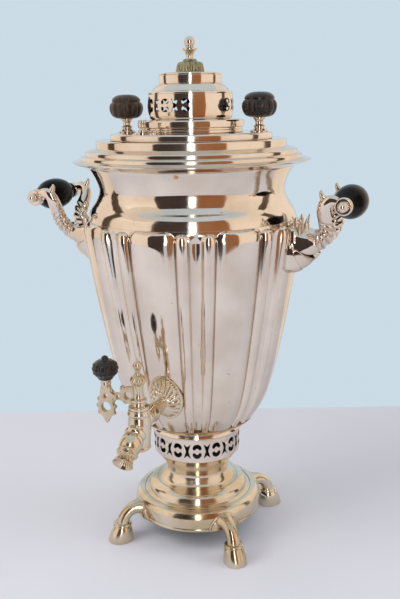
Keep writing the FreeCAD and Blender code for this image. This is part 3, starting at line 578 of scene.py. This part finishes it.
# %% Skin the body wall
reeds_end = panel_half + 2 * reed_half
lobe_edges = (-panel_half, panel_half, reeds_end, lobe_pitch - reeds_end, lobe_pitch - panel_half)
repeat = np.concatenate([np.linspace(first, last, columns, endpoint=False)
                         for first, last, columns in zip(lobe_edges, lobe_edges[1:], (36, 10, 8, 10))])
body_angles = np.concatenate([repeat + lobe_pitch * turn for turn in range(lobe_count)])
body_turns = np.radians(body_angles)
body_heights = np.concatenate([np.linspace(128, 300, 44)[:-1], np.linspace(300, 318, 10)[:-1],
                               np.linspace(318, 331, 27)])
wall_depth = 2.4
outer_rings = [ring_at(height, np.array([body_radius(height, angle) for angle in body_angles]), body_turns)
               for height in body_heights]
inner_rings = [ring_at(height, read_line(plain_line, height) - wall_depth, body_turns)
               for height in (331, 318, 301.5, 226, 160, 128)]
place_piece("body_wall", "lobed", skinned(outer_rings + inner_rings, closed=True), sharp=50)
print("body wall has", len(body_heights) * len(body_angles), "points outside")

# %% [markdown]
# ## Neck and top ring
# Above the lobes the wall draws in to a smooth waist and opens again under a wide thin brim. The
# top ring is a stack of plain steps. Steps this crisp need small rounded edges, or they would
# render as hard lines that no spun sheet has.

# %% Spin the upper neck and the top ring
neck_line = flow([
    (101.3, 331), (98.4, 339.5), (93.9, 346), (91, 351.5), (89.4, 358), (90.9, 365), (94.2, 372.5),
    (99, 380)], 8)
turn_piece("upper_neck", "spun", sheeted(neck_line), 0.4, 192)
ring_outline = [
    (99, 380), (112, 384.3), (114, 385.1), (114, 385.7), (105.6, 387.3), (105.6, 390.6), (101.3, 391.4),
    (101.3, 395.2), (90.9, 397.8), (90.9, 404.8), (75.8, 404.8), (75.8, 398.8), (77, 398.8), (77, 403.6),
    (89.3, 403.2), (89.3, 396), (99.7, 393.4), (99.7, 389.8), (104, 389), (104, 385.1), (98, 381.6)]
turn_piece("top_ring", "spun", ring_outline, 1, 192)
print("neck and top ring spun")

# %% [markdown]
# ## Lid and crown
# The lid is a flat plate in the mouth of the top ring. The crown stands on it: a thick foot ring,
# a pierced drum and a shoulder that narrows. The damper cap on top carries a leaf cup and a finial.
# Lid, crown and cap lift off one after the other, so each rides on a moving body of its own.

# %% Turn the lid, its collar and the plain pieces of the crown
lid_outline = [
    (31.5, 411), (76.2, 411), (77.4, 409.8), (77.4, 404.8), (75.3, 404.8), (75.3, 399.3), (74.1, 399.3),
    (74.1, 409.8), (31.5, 409.8)]
turn_piece("lid", "spun", lid_outline, 0.8, 160, "lid")
collar_outline = [
    (31.5, 411), (49.3, 411), (49.3, 413.4), (48.8, 413.8), (49.3, 414.2), (49.3, 416), (31.5, 416)]
turn_piece("lid_collar", "turned", collar_outline, 0.7, 128, "lid")
crown_foot_outline = [
    (32, 416), (50.7, 416), (50.7, 421.4), (50, 422.6), (48.6, 423), (44, 422.8), (43.4, 423), (32, 423)]
turn_piece("crown_foot", "turned", crown_foot_outline, 0.6, 128, "crown")
shoulder_line = [
    (39.8, 446), (40, 447.2), (39.4, 448.2), (38, 448.7),
    *flow([(37, 449), (34.6, 452), (31.8, 454.4)], 5), (29.6, 455.2), (26.6, 455.2)]
turn_piece("crown_shoulder", "spun", sheeted(shoulder_line), 0.3, 128, "crown")
cap_outline = [
    (29.4, 455.2), (29.7, 462.6), (29, 463), (29.6, 463.5), (29.6, 464.2), (28.6, 465), (15, 465),
    (0, 465), (0, 463.8), (24.9, 463.8), (24.9, 446.2), (26.1, 446.2), (26.1, 455.2)]
turn_piece("damper_cap", "spun", cap_outline, 0.6, 128, "damper")

# %% The crown's pierced drum: three groups of three kidney pairs, with a star between neighbours
drum_cell = 14.5
drum_radius = 39.8
drum_bottom, drum_top = 423, 446
drum_profile = flow([(423, 37.6), (424.2, 39), (426.5, 39.8), (435.5, 40.8), (446, 39.8)], 6)
drum_kidneys, drum_star = fretted_pair(drum_cell, drum_radius, drum_bottom, drum_top, middle=436,
                                       motif_height=12, kidney_width=8.4, star_width=7)
plain_degrees = (120 - 5 * drum_cell) / 4
plain_width = radians(plain_degrees) * drum_radius
drum_plain = (plain_degrees, fretted_cell(plain_width, drum_bottom, drum_top, []), plain_width)
drum_cells = ([drum_kidneys, drum_star] * 2 + [drum_kidneys] + [drum_plain] * 4) * 3
middle_of_group = -104
drum = fretted_band(drum_cells, drum_profile, middle_of_group - 2.5 * drum_cell)
place_piece("crown_drum", "fretted", drum, "crown", sharp=40, dark_inside=True)
print("lid, collar and crown made")

# %% [markdown]
# The leaf cup under the finial is a little calyx of eight petals with green tarnish in its folds.
# A ripple in the radius makes the petals. It is deepest at their shoulders and fades towards the ball.

# %% Leaf cup and finial
petal_ripple = ribs(4, [465, 467, 473, 475.4, 477.5], [1.2, 2.2, 3, 1.2, 0.4], 0.7)
leaf_line = flow([(13, 465), (14, 466.6), (13.6, 469), (13, 472), (11.4, 474.4), (7.6, 475.4), (6, 477.5)], 5)
leaf_outline = [(0, 465), *leaf_line, (0, 477.5)]
place_piece("leaf_cup", "chased", turned(leaf_outline, 128, petal_ripple), "damper", "tarnished_brass")
ball_radius = 5.4
ball_centre = 498 - ball_radius
ball_line = [(ball_radius * sin(turn), ball_centre - ball_radius * cos(turn))
             for turn in np.linspace(0.62, pi, 18)]
finial_outline = [
    (0, 477.5), (4.6, 477.5), (3.7, 478.6), (3.6, 480.7), (5, 483.6), (7.2, ball_centre - 6.8),
    (7.2, ball_centre - 5.6), (3.6, ball_centre - 4.6), *ball_line[:-1], (0, 498)]
turn_piece("finial", "turned", finial_outline, 0.4, 96, "damper")

# %% [markdown]
# ## Knobs of the lid
# Each knob is dark carved wood on a turned brass stem: a flattened bulb with ribs below, a cut groove,
# and a domed top. The left knob of the real samovar is browner, so it has its own wood.

# %% Turn the stems and carve the knobs
knob_line = flow([(8.6, 424.4), (12.4, 425.8), (15.2, 429), (16.4, 433.4), (16, 437), (14.6, 439.2)], 5)
knob_top_line = flow([(14, 441.4), (12.4, 444), (8.6, 446.2), (4, 446.9)], 4)
knob_outline = [(0, 424.4), *knob_line, (13.4, 440), (13.9, 440.8), *knob_top_line, (0, 447)]
carved_ribs = ribs(6, [424.4, 428, 434, 438.5, 439.2], [0.3, 1.1, 1.5, 0.9, 0])
stem_outline = [
    (0, 411), (8.6, 411), (8.6, 412.2), (7.4, 412.9), (6.4, 413.6), (5, 414.6), (4.6, 415.2),
    (5.6, 415.9), (5.8, 416.5), (4.6, 417.1), (4, 418.2), (3.9, 420), (4.7, 422), (6, 423.4), (6, 424.4),
    (0, 424.4)]
knob_low, knob_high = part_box("lid_knob_right")
knob_circle = (knob_low[0] + knob_high[0]) / 2 / mm
for side, place, wood in (("right", knob_circle, "dark"), ("left", -knob_circle, "brown")):
    stem = moved(turned(softened(stem_outline, 0.4), 64), (place, 0, 0))
    place_piece("lid_knob_stem_" + side, "turned", stem, "lid", name="knob_stem_" + side)
    knob = moved(turned(knob_outline, 120, carved_ribs), (place, 0, 0))
    place_piece("lid_knob_" + side, "carved", knob, "lid", "dark_carved_wood", wood + "_carved_wood",
                name="knob_" + side)

# %% The steam vent's cap swings aside on a rivet
vent_turn = radians(-111)
vent_circle = 64
vent_place = (vent_circle * cos(vent_turn), vent_circle * sin(vent_turn), 0)
vent_outline = [
    (0, 412.7), (4.4, 412.7), (4.4, 414.5), (3.2, 415.1), (2.3, 416.4), (2.9, 417.6), (3.2, 418.2),
    (2.6, 419.4), (2.9, 420.4), (3.7, 421.4), (3.6, 422.6), (2.6, 423.5), (1.4, 423.9), (0, 423.9)]
vent_knob = turned(softened(vent_outline, 0.3), 48)
vent_arm_widths = ((1, 2), (4, 1.9), (8, 1.7), (10, 2.4), (12, 3.3), (13.6, 3.4), (15.4, 2.8), (16.4, 1.2))
vent_arm = skinned([[(x, y, z) for y, z in oval(wide, 0.9, (0, 413.6), 16)] for x, wide in vent_arm_widths])
for part in (vent_knob, vent_arm):
    moved(part, vent_place, Matrix.Rotation(vent_turn + pi / 2, 3, "Z"))
place_piece("vent_cap", "turned", [vent_knob, vent_arm], "vent_cap")
print("knobs and vent made")

# %% [markdown]
# ## Handles
# Each handle is a black turned grip between two cast arms. An arm starts as a leafy flange on the
# body, narrows like a swan's neck, turns up through a roped part, and ends in a curled hook with an
# eye for the grip's rod. It has no straight axis, so ellipses are carried along a smooth path. The
# rope is a change of the ellipse's size that winds round along the path.

# %% Carry ellipses along a path
def limb(stations, around=28, steps=8, twist=None):
    """A station is (x, y, z, half tall, half wide). twist(share, angle) scales the ellipse."""
    dense = flow(stations, steps)
    runs = np.gradient(dense[:, :3], axis=0)
    rings = []
    for step, (station, run) in enumerate(zip(dense, runs)):
        along = Vector(run).normalized()
        wide = (Vector((0, 1, 0)) - along * along.y).normalized()
        tall = along.cross(wide)
        ring = []
        for turn in all_round(around):
            scale = twist(step / (len(dense) - 1), turn) if twist else 1
            offset = tall * station[3] * cos(turn) + wide * station[4] * sin(turn)
            ring.append(Vector(station[:3]) + offset * scale)
        rings.append(ring)
    return skinned(rings)


def roped(share, turn, start=0.46, end=0.74, fade=0.03, winding=66):
    """Four strands that wind round the arm above its elbow. share runs from 0 to 1 along the arm."""
    strength = max(0, min(1, (share - start) / fade, (end - share) / fade))
    strand = 0.72 + 0.35 * abs(sin(2 * turn + winding * share)) ** 0.7
    return 1 + strength * (strand - 1)


def hook_eye():
    """The ring that holds the rod."""
    rim = [(3.1, -4), (7, -4), (8, -3), (8, 3), (7, 4), (3.1, 4)]
    return turned(softened(rim, 0.8), 48)


# %% Cast the four arms
grip_axis = (154, 349)
eye_from_middle = 36
lie_down = Matrix.Rotation(pi / 2, 3, "X")


def leaf_tip(x, lean):
    """A small pointed leaf that stands on the arm's root."""
    return limb([(x, 13, 319, 3.6, 5.6), (x + 0.3 * lean, 13, 325, 2.8, 4.6), (x + lean, 13, 329.6, 1.8, 3),
                 (x + 1.8 * lean, 13, 333, 0.9, 1.4), (x + 2.4 * lean, 13, 335, 0.3, 0.4)], 20)


def handle_arm():
    stem = limb([
        (97, 13, 307, 24.4, 10.2), (103, 13, 307, 24, 9.8), (105.4, 13, 307.6, 22, 9.5),
        (106, 13, 307.8, 20.6, 8.8), (109, 13, 308, 17.8, 8.4), (115, 13, 309.4, 13.4, 7.9),
        (122, 13.4, 311.4, 10, 7.2), (129, 14.6, 314.6, 8.2, 6.8), (135, 17.2, 320.4, 7, 6.6),
        (137.2, 20.6, 327, 6.9, 6.5), (136.6, 26, 335, 6.8, 6.2), (135.8, 31.6, 343, 6.4, 5.6),
        (137.4, 34.8, 350, 5.8, 4.8), (142.4, 36, 353.6, 5, 4), (149, 36, 353, 3.8, 3.8)],
        around=32, steps=20, twist=roped)
    horn = limb([
        (140, 35, 349.6, 4.4, 3.8), (137.2, 35.2, 353.6, 4, 3.4), (135, 35.4, 357.4, 2.8, 2.6),
        (133.8, 35.4, 360.4, 1.7, 1.6), (134.2, 35.4, 362.4, 0.6, 0.6)], 20)
    eye = moved(hook_eye(), (grip_axis[0], eye_from_middle, grip_axis[1]), lie_down)
    return [stem, horn, leaf_tip(104.5, 0.6), leaf_tip(110.5, 1.2), eye]


def reflected(bm, x_sign, y_sign):
    """The same part on another side of the samovar."""
    bm.transform(Matrix.Diagonal((x_sign, y_sign, 1, 1)))
    bmesh.ops.recalc_face_normals(bm, faces=bm.faces)
    return bm


for side, x_sign in (("right", 1), ("left", -1)):
    for end, y_sign in (("back", 1), ("front", -1)):
        parts = [reflected(part, x_sign, y_sign) for part in handle_arm()]
        place_piece("arm_" + side + "_" + end, "cast", parts)

# %% Turn the grips and the ball nuts
grip_line = flow([
    (7.2, -27.8), (8.4, -25), (10.8, -20), (13.6, -13.5), (15.1, -7), (15.6, 0), (15.1, 7), (13.6, 13.5),
    (10.8, 20), (8.4, 25), (7.2, 27.8)], 5)
grip_outline = [
    (3.1, -31), (7.4, -31), (8.2, -30.2), (8.2, -29.2), (7.4, -28.4), *grip_line, (7.4, 28.4),
    (8.2, 29.2), (8.2, 30.2), (7.4, 31), (3.1, 31)]
for side, x_sign in (("right", 1), ("left", -1)):
    grip = moved(turned(softened(grip_outline, 0.3), 96), (x_sign * grip_axis[0], 0, grip_axis[1]), lie_down)
    place_piece("grip_" + side, "turned", grip, slot="black_lacquered_wood")
nut_radius = 4.6
nut_from_middle = 40
nut_gap = 0.03
nut_line = [(nut_radius * sin(turn), max(nut_gap, 3.4 - nut_radius * cos(turn)))
            for turn in np.linspace(0.75, pi, 14)[:-1]]
nuts = []
for x_sign in (1, -1):
    for y_sign in (1, -1):
        nut = turned([(0, nut_gap), *nut_line, (0, 8)], 40)
        nut_place = (x_sign * grip_axis[0], y_sign * nut_from_middle, grip_axis[1])
        nuts.append(moved(nut, nut_place, Matrix.Rotation(-y_sign * pi / 2, 3, "X")))
place_piece("rod_ball_nuts", "turned", nuts)
print("handles made")

# %% [markdown]
# ## Feet
# Four cast feet carry the base: a half round shield that hugs the skirt, a leg that bends down to a
# ring, and a hoof. The leg is a limb like the arms, and the hoof is a stack of level rings. Each
# point of the shield is placed straight in front of the skirt, so the shield bends with it.

# %% Cast the four feet
skirt_side = np.array([(height, radius) for radius, height in skirt_line[:11]])


def shield(half_width=17, bottom=24.5):
    """Rings that shrink towards the middle. Each stands so far in front of the skirt."""
    rings = []
    for share, lift in ((1, -1.2), (1, 1.4), (0.97, 1.9), (0.9, 2), (0.87, 1.4), (0.84, 1.4), (0.8, 2),
                        (0.4, 2), (0.02, 2)):
        ring = []
        for turn in all_round(48):
            up = max(0, sin(turn)) * 0.98 + min(0, sin(turn)) * 0.04
            across, height = half_width * share * cos(turn), bottom + half_width * share * up
            radius = read_line(skirt_side, height) + lift
            bend = across / radius
            ring.append((radius * cos(bend), radius * sin(bend), height))
        rings.append(ring)
    return skinned(rings)


def hoof_foot():
    leg = limb([
        (60, 0, 33, 8.5, 12), (66, 0, 33.2, 7.4, 9.8), (72, 0, 32.8, 6.4, 7.6), (77.5, 0, 30.6, 6, 6.6),
        (82, 0, 26.4, 6, 6.2), (84.6, 0, 21, 6.3, 6.5), (85.4, 0, 16.5, 7, 7.4)], 32)
    hoof_rings = []
    for height, centre, long, wide in (
            (17.4, 86, 7.2, 7.4), (16.4, 86, 8.4, 8.6), (12, 86.5, 10.4, 9.8), (7, 87.3, 11.9, 10.8),
            (2, 87.9, 12.9, 11.4), (0.5, 88, 13, 11.5), (0, 88, 12.6, 11.1)):
        ring = []
        for turn in all_round(48):
            cleft = 1 - 0.05 * exp(-(min(turn, 2 * pi - turn) / 0.12) ** 2)
            ring.append((centre + long * cleft * cos(turn), wide * sin(turn), height))
        hoof_rings.append(ring)
    band_outline = [(0, 16.2), (8.8, 16.2), (9.7, 17.2), (9.8, 18), (8.8, 19.4), (0, 19.4)]
    band = moved(turned(softened(band_outline, 0.6), 48), (85.8, 0, 0))
    return [leg, skinned(hoof_rings), band, shield()]


for name, angle in (("front_right", -45), ("back_right", 45), ("back_left", 135), ("front_left", -135)):
    parts = [moved(part, turn=Matrix.Rotation(radians(angle), 3, "Z")) for part in hoof_foot()]
    place_piece("foot_" + name, "cast", parts, slot="worn_brass")
print("feet made")

# %% [markdown]
# ## The tap
# A fluted shell plate covers the joint on the body. The pipe widens towards an upright barrel, and a
# moulded spout drops away at an angle. Barrel and spout are both turned, the spout round its own
# slanting axis.

# %% The shell rosette
def rosette(wide=17, tall=23.4, centre=170.5, lean=0.27, flutes=20, swirl=0.55, flute_depth=2.5):
    """A domed shell that leans with the body: swirling flutes inside a smooth rim."""
    rings = []
    for share, depth in (
            (1, -68), (1, -77.8), (0.985, -78.8), (0.95, -79.2), (0.92, -78.9), (0.9, -78.9),
            (0.86, -80.6), (0.8, -82.2), (0.72, -83.8), (0.62, -85.2), (0.52, -86.3), (0.42, -87),
            (0.34, -87.4), (0.1, -87.5)):
        ring = []
        for turn in all_round(240):
            flute = abs(cos(flutes / 2 * (turn + swirl * (1 - share)))) ** 0.75
            push = flute_depth * (1 - flute) * np.interp(share, [0.34, 0.46, 0.86, 0.9], [0, 1, 1, 0])
            up = tall * share * sin(turn)
            ring.append((wide * share * cos(turn), depth + push - lean * up - 0.9, centre + up))
        rings.append(ring)
    return skinned(rings)


place_piece("tap_rosette", "fluted", rosette(), slot="worn_brass")

# %% Barrel, pipe and spout
barrel_y = -136
pipe_z = 168
barrel_outline = [
    (5.7, 145), (8.6, 145), (9.4, 145.8), (9.4, 147.2), (8.8, 148),
    *flow([(9, 149), (9.5, 155), (10.2, 166), (9.9, 171), (9.2, 176)], 5), (10.2, 177), (10.4, 178.6),
    (9.4, 180), (9.4, 182), (6.9, 182)]
barrel = moved(turned(softened(barrel_outline, 0.4), 72), (0, barrel_y, 0))
pipe_line = ((-80, 5.4), (-88, 5.7), (-96, 6.2), (-104, 6.7), (-108, 7.4), (-110, 8.4), (-112, 8.4),
             (-114, 7.4), (-120, 7.5), (-130, 7.7))
pipe = skinned([[(x, y, z) for x, z in oval(radius, radius, (0, pipe_z), 64)] for y, radius in pipe_line])
spout_outline = [
    (3.6, 4), (7.4, 4), (7.4, 8.6), (9.2, 9.4), (9.8, 11.2), (9.2, 13.2), (8.4, 14),
    *flow([(8.8, 14.8), (9.9, 18.6), (10, 22), (9.4, 25.6), (8.2, 28.4)], 5), (9.2, 29), (9.6, 30.4),
    (9.2, 31.8), (7.2, 32.6), *flow([(7, 33.4), (7.3, 36.2), (8.3, 39.4), (9.4, 41.6)], 4), (8.6, 42),
    (3.6, 36)]
spout_drop = radians(33)
spout_run = Vector((0, -cos(spout_drop), -sin(spout_drop)))
spout_turn = Vector((0, 0, 1)).rotation_difference(spout_run).to_matrix()
mouth_flutes = ribs(6, [32.6, 35, 39, 41.6], [0, 0.7, 0.7, 0])
spout = moved(turned(softened(spout_outline, 0.3), 96, mouth_flutes), (0, barrel_y, pipe_z), spout_turn)
place_piece("tap_body", "turned", [barrel, pipe, spout], slot="worn_brass")

# %% [markdown]
# The key turns in the barrel. Its plug carries a leafy ornament with a ball and a tip, and a pierced
# scroll branch reaches out to a column with a black knob. The branch is filled as a flat outline,
# made thick, and bevelled, because cast edges are never sharp.

# %% The key's plug and ornament
leaf_flutes = ribs(3, [202, 205, 210, 213], [0, 1.3, 1.2, 0], 0.7)
key_outline = [
    (0, 142), (4, 142), (5.6, 144.6), (6.8, 182.1), (9, 182.1), (9, 184.6), (5.6, 185.4), (5, 188),
    (7, 189.4), (7, 191), (4.6, 192.2), (4.2, 196), (4.4, 202),
    *flow([(4.6, 203.6), (6.6, 206.4), (7.2, 208.6), (5.4, 211.4), (3, 213)], 4), (2.2, 214.4),
    (2.2, 217.5), *flow([(3, 218.6), (4, 221), (3.4, 223.6), (1.4, 225.4)], 4), (0.9, 227), (0.5, 229),
    (0, 229)]
plug = moved(turned(softened(key_outline, 0.3), 72, leaf_flutes), (0, barrel_y, 0))
place_piece("key_plug", "turned", plug, "tap_key", "worn_brass")


# %% The pierced scroll branch and its column
def fretted_plate(outline, holes, thickness, edge=0.7):
    """A flat plate in the XZ plane with holes, every edge of it rounded."""
    points, triangles = filled(outline, holes)
    bm = bmesh.new()
    front = [bm.verts.new(Vector((x, -thickness / 2, z)) * mm) for x, z in points]
    for triangle in triangles:
        bm.faces.new([front[corner] for corner in triangle])
    thickened(bm, lambda place: Vector((0, thickness * mm, 0)))
    corners = [line for line in bm.edges if len(line.link_faces) == 2 and line.calc_face_angle(0) > 1.3]
    bmesh.ops.bevel(bm, geom=corners, offset=edge * mm, segments=3, profile=0.5, affect="EDGES",
                    clamp_overlap=True)
    for face in bm.faces:
        face.smooth = True
    return bm


branch_corners = [
    (-3, 186.5), (-7.5, 185.8), (-12, 186.5), (-18.5, 188.3), (-24, 185.6), (-23.4, 180), (-24.4, 174.6),
    (-28.2, 169.4), (-31, 164.8), (-33.8, 169.4), (-37.8, 174.6), (-39, 180), (-38.2, 186), (-36.6, 191),
    (-36.4, 195), (-35.2, 199.5), (-34.6, 205.6), (-27.4, 205.6), (-26.8, 198.6), (-24.4, 194.8),
    (-20, 193.8), (-17, 196.4), (-15, 199.4), (-9, 201.2), (-3, 202.6)]
branch_line = [tuple(point) for point in flow(branch_corners, 4)]
branch_holes = [oval(radius, radius, (x, z), 24) for x, z, radius in (
    (-31.1, 180.4, 4.6), (-31, 190.6, 2), (-19, 190.9, 1.9), (-9.4, 193.4, 3.4))]
branch = moved(fretted_plate(branch_line, branch_holes, thickness=4.2), (0, barrel_y, 0))


def cast_bead(x, z, radius):
    line = [(radius * sin(turn), -radius * cos(turn)) for turn in np.linspace(0, pi, 9)]
    return moved(turned(line, 20), (x, barrel_y, z))


beads = [cast_bead(x, z, radius) for x, z, radius in (
    (-24.2, 187.4, 2.4), (-23.2, 181, 2), (-24.6, 174.8, 2.2), (-38, 186.6, 2.3), (-39.2, 180.4, 2.1),
    (-37.8, 174.4, 2.3), (-31, 168.6, 2.6), (-14.8, 199, 2.6), (-12.6, 187, 2.3))]
column_outline = [(0, 197), (3, 197), (4.6, 201), (4.2, 203.6), (5.2, 204.8), (5.2, 206), (0, 206)]
column_place = (-31, barrel_y, 0)
column = moved(turned(softened(column_outline, 0.5), 48), column_place)
place_piece("key_branch", "pierced", [branch, column, *beads], "tap_key", "worn_brass", sharp=40)

# %% Carve the key's knob: ribs that are cut across into rows of beads
key_knob_side = flow([
    (8.6, 208.8), (10.7, 211), (11.75, 214.6), (11.5, 217.8), (9.8, 220.8), (6.4, 222.8)], 6)
key_knob_outline = [
    (0, 206), (6.4, 206), (6.9, 207.2), (7, 208.2), *key_knob_side, (4.2, 223.2), (2.7, 223.6),
    (3.1, 224.6), (2.6, 226), (1.2, 226.9), (0, 227)]


def key_knob_ribs(height, angles):
    depth = np.interp(height, [208, 211, 219, 222, 223], [0.2, 1.2, 1.3, 0.7, 0])
    beads_up = 0.5 + 0.5 * np.cos((height - 208) * pi / 1.9)
    return -depth * (1 - np.abs(np.cos(8 * angles)) ** 0.7 * (0.45 + 0.55 * beads_up))


key_knob = moved(turned(key_knob_outline, 100, key_knob_ribs), column_place)
place_piece("key_knob", "carved", key_knob, "tap_key", "dark_carved_wood")
print("tap and key made")

# %% [markdown]
# ## What stays as the model has it
# The tube, the grate, the floor, the rods, the nuts of the knobs and the vent's seat are plain, so
# their solids are good enough. They only need their finish.

# %% Give the remaining solids their finish
plain_pieces = {
    "body_floor": "inner_brass", "fire_tube": "inner_brass", "fire_grate": "sooty_iron",
    "lid_knob_nuts": "worn_brass", "vent_seat": "plated_metal",
    "grip_rod_right": "worn_brass", "grip_rod_left": "worn_brass"}
for name, finish in plain_pieces.items():
    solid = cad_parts[name]
    solid.data.materials.clear()
    solid.data.materials.append(finishes[finish])
left_plain = [name for name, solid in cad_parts.items()
              if not solid.hide_render and name not in plain_pieces]
print("solids still without a piece or a finish:", left_plain)

# %% [markdown]
# ## Table, room and light
# The samovar stands on a pale table that ends a little behind it, before a pale blue wall. Polished
# metal shows the room more than itself, so the room matters: a bright window gap behind the camera,
# dark furniture to its left and brown to its right, and warm walls with a dark strip in each. The
# gap is a lamp. The rest are cards that only reflections see, so they spoil no other view.

# %% The table
def plain_card(name, corners, colour, emission=0):
    mesh = bpy.data.meshes.new(name)
    mesh.from_pydata([tuple(corner) for corner in corners], [], [tuple(range(len(corners)))])
    material, tree, shader = new_finish(name)
    shade = blend_colours(tree, noise(tree, 6, 3), [value * 0.97 for value in colour], colour)
    feed(tree, shader, Base_Color=shade, Roughness=0.9, Specular_IOR_Level=0.1)
    if emission:
        feed(tree, shader, Emission_Color=(*colour, 1), Emission_Strength=emission)
    mesh.materials.append(material)
    card = in_scene(name, mesh)
    return card


def in_view_frame(sideways, forward, height):
    """A place given from the samovar's axis, sideways and away from the camera."""
    return rightwards * sideways + ahead * forward + Vector((0, 0, height))


table_front, table_back = -0.72, 0.31
table_half = 1.3
table_corners = ((-table_half, table_front), (table_half, table_front), (table_half, table_back),
                 (-table_half, table_back))
plain_card("table_top", [in_view_frame(*corner, 0) for corner in table_corners], (0.79, 0.8, 0.87))


# %% Cards that only the reflections see
def reflection_card(name, from_degrees, to_degrees, bottom, top, colour, strength, distance=1.3):
    """A curved strip of eight flat cards round the samovar. 0 degrees is behind the camera, and
    they grow towards its right."""
    ends = np.linspace(from_degrees, to_degrees, 9)
    for number, (first, last) in enumerate(zip(ends, ends[1:])):
        corners = []
        for degrees, height in ((first, bottom), (last, bottom), (last, top), (first, top)):
            turn = radians(degrees)
            corners.append(in_view_frame(distance * sin(turn), -distance * cos(turn), height))
        card = plain_card(name + "_" + str(number), corners, colour, strength)
        card.visible_camera = False
        card.visible_shadow = False
        card.visible_diffuse = False


reflection_card("dark_furniture", -44, -5, -0.6, 1.5, (0.07, 0.05, 0.045), 0.12)
reflection_card("brown_furniture", 5, 40, -0.6, 1.5, (0.3, 0.13, 0.055), 0.4)
reflection_card("warm_wall_left", -150, -44, -0.6, 1.8, (0.8, 0.7, 0.59), 0.44)
reflection_card("warm_wall_right", 40, 150, -0.6, 1.8, (0.8, 0.69, 0.57), 0.44)
reflection_card("dark_doorway_left", -112, -98, -0.6, 1.3, (0.1, 0.07, 0.05), 0.2, 1.26)
reflection_card("dark_curtain_right", 92, 104, -0.6, 1.3, (0.12, 0.08, 0.055), 0.2, 1.26)

# %% World and lamps
samovar_middle = Vector((0, 0, 0.24))
world = bpy.data.worlds.new("pale_room")
bpy.context.scene.world = world
world.use_nodes = True
sky = world.node_tree
room_light = feed(sky, sky.nodes["Background"], Color=(0.8, 0.8, 0.82, 1), Strength=0.68)
wall = add_node(sky, "Background", Color=(0.6, 0.71, 0.79, 1))
path = add_node(sky, "LightPath")
seen = path.outputs["Is Camera Ray"]
for ray in ("Is Glossy Ray", "Is Transmission Ray"):
    either = add_node(sky, "Math")
    either.operation = "MAXIMUM"
    sky.links.new(seen, either.inputs[0])
    sky.links.new(path.outputs[ray], either.inputs[1])
    seen = either.outputs["Value"]
choice = add_node(sky, "MixShader", Fac=seen)
sky.links.new(room_light.outputs["Background"], choice.inputs[1])
sky.links.new(wall.outputs["Background"], choice.inputs[2])
feed(sky, sky.nodes["World Output"], Surface=choice.outputs["Shader"])


def soft_lamp(name, place, width, height, power, colour):
    """A panel that faces the samovar's middle. power is in watts."""
    lamp = bpy.data.lights.new(name, "AREA")
    lamp.shape = "RECTANGLE"
    lamp.size = width
    lamp.size_y = height
    lamp.energy = power
    lamp.color = colour
    holder = in_scene(name, lamp)
    facing = (samovar_middle - place).to_track_quat("-Z", "Y")
    holder.matrix_world = Matrix.Translation(place) @ facing.to_matrix().to_4x4()
    return holder


soft_lamp("window_gap", in_view_frame(0, -1.25, 0.55), 0.12, 1.3, 3, (1, 0.98, 0.95))
for lamp in (soft_lamp("left_softbox", in_view_frame(-1.1, -0.5, 1.2), 0.9, 0.9, 10, (1, 0.98, 0.96)),
             soft_lamp("right_softbox", in_view_frame(1.2, -0.2, 0.9), 0.7, 0.9, 4, (0.97, 0.98, 1))):
    lamp.visible_glossy = False
print("lights and room ready")
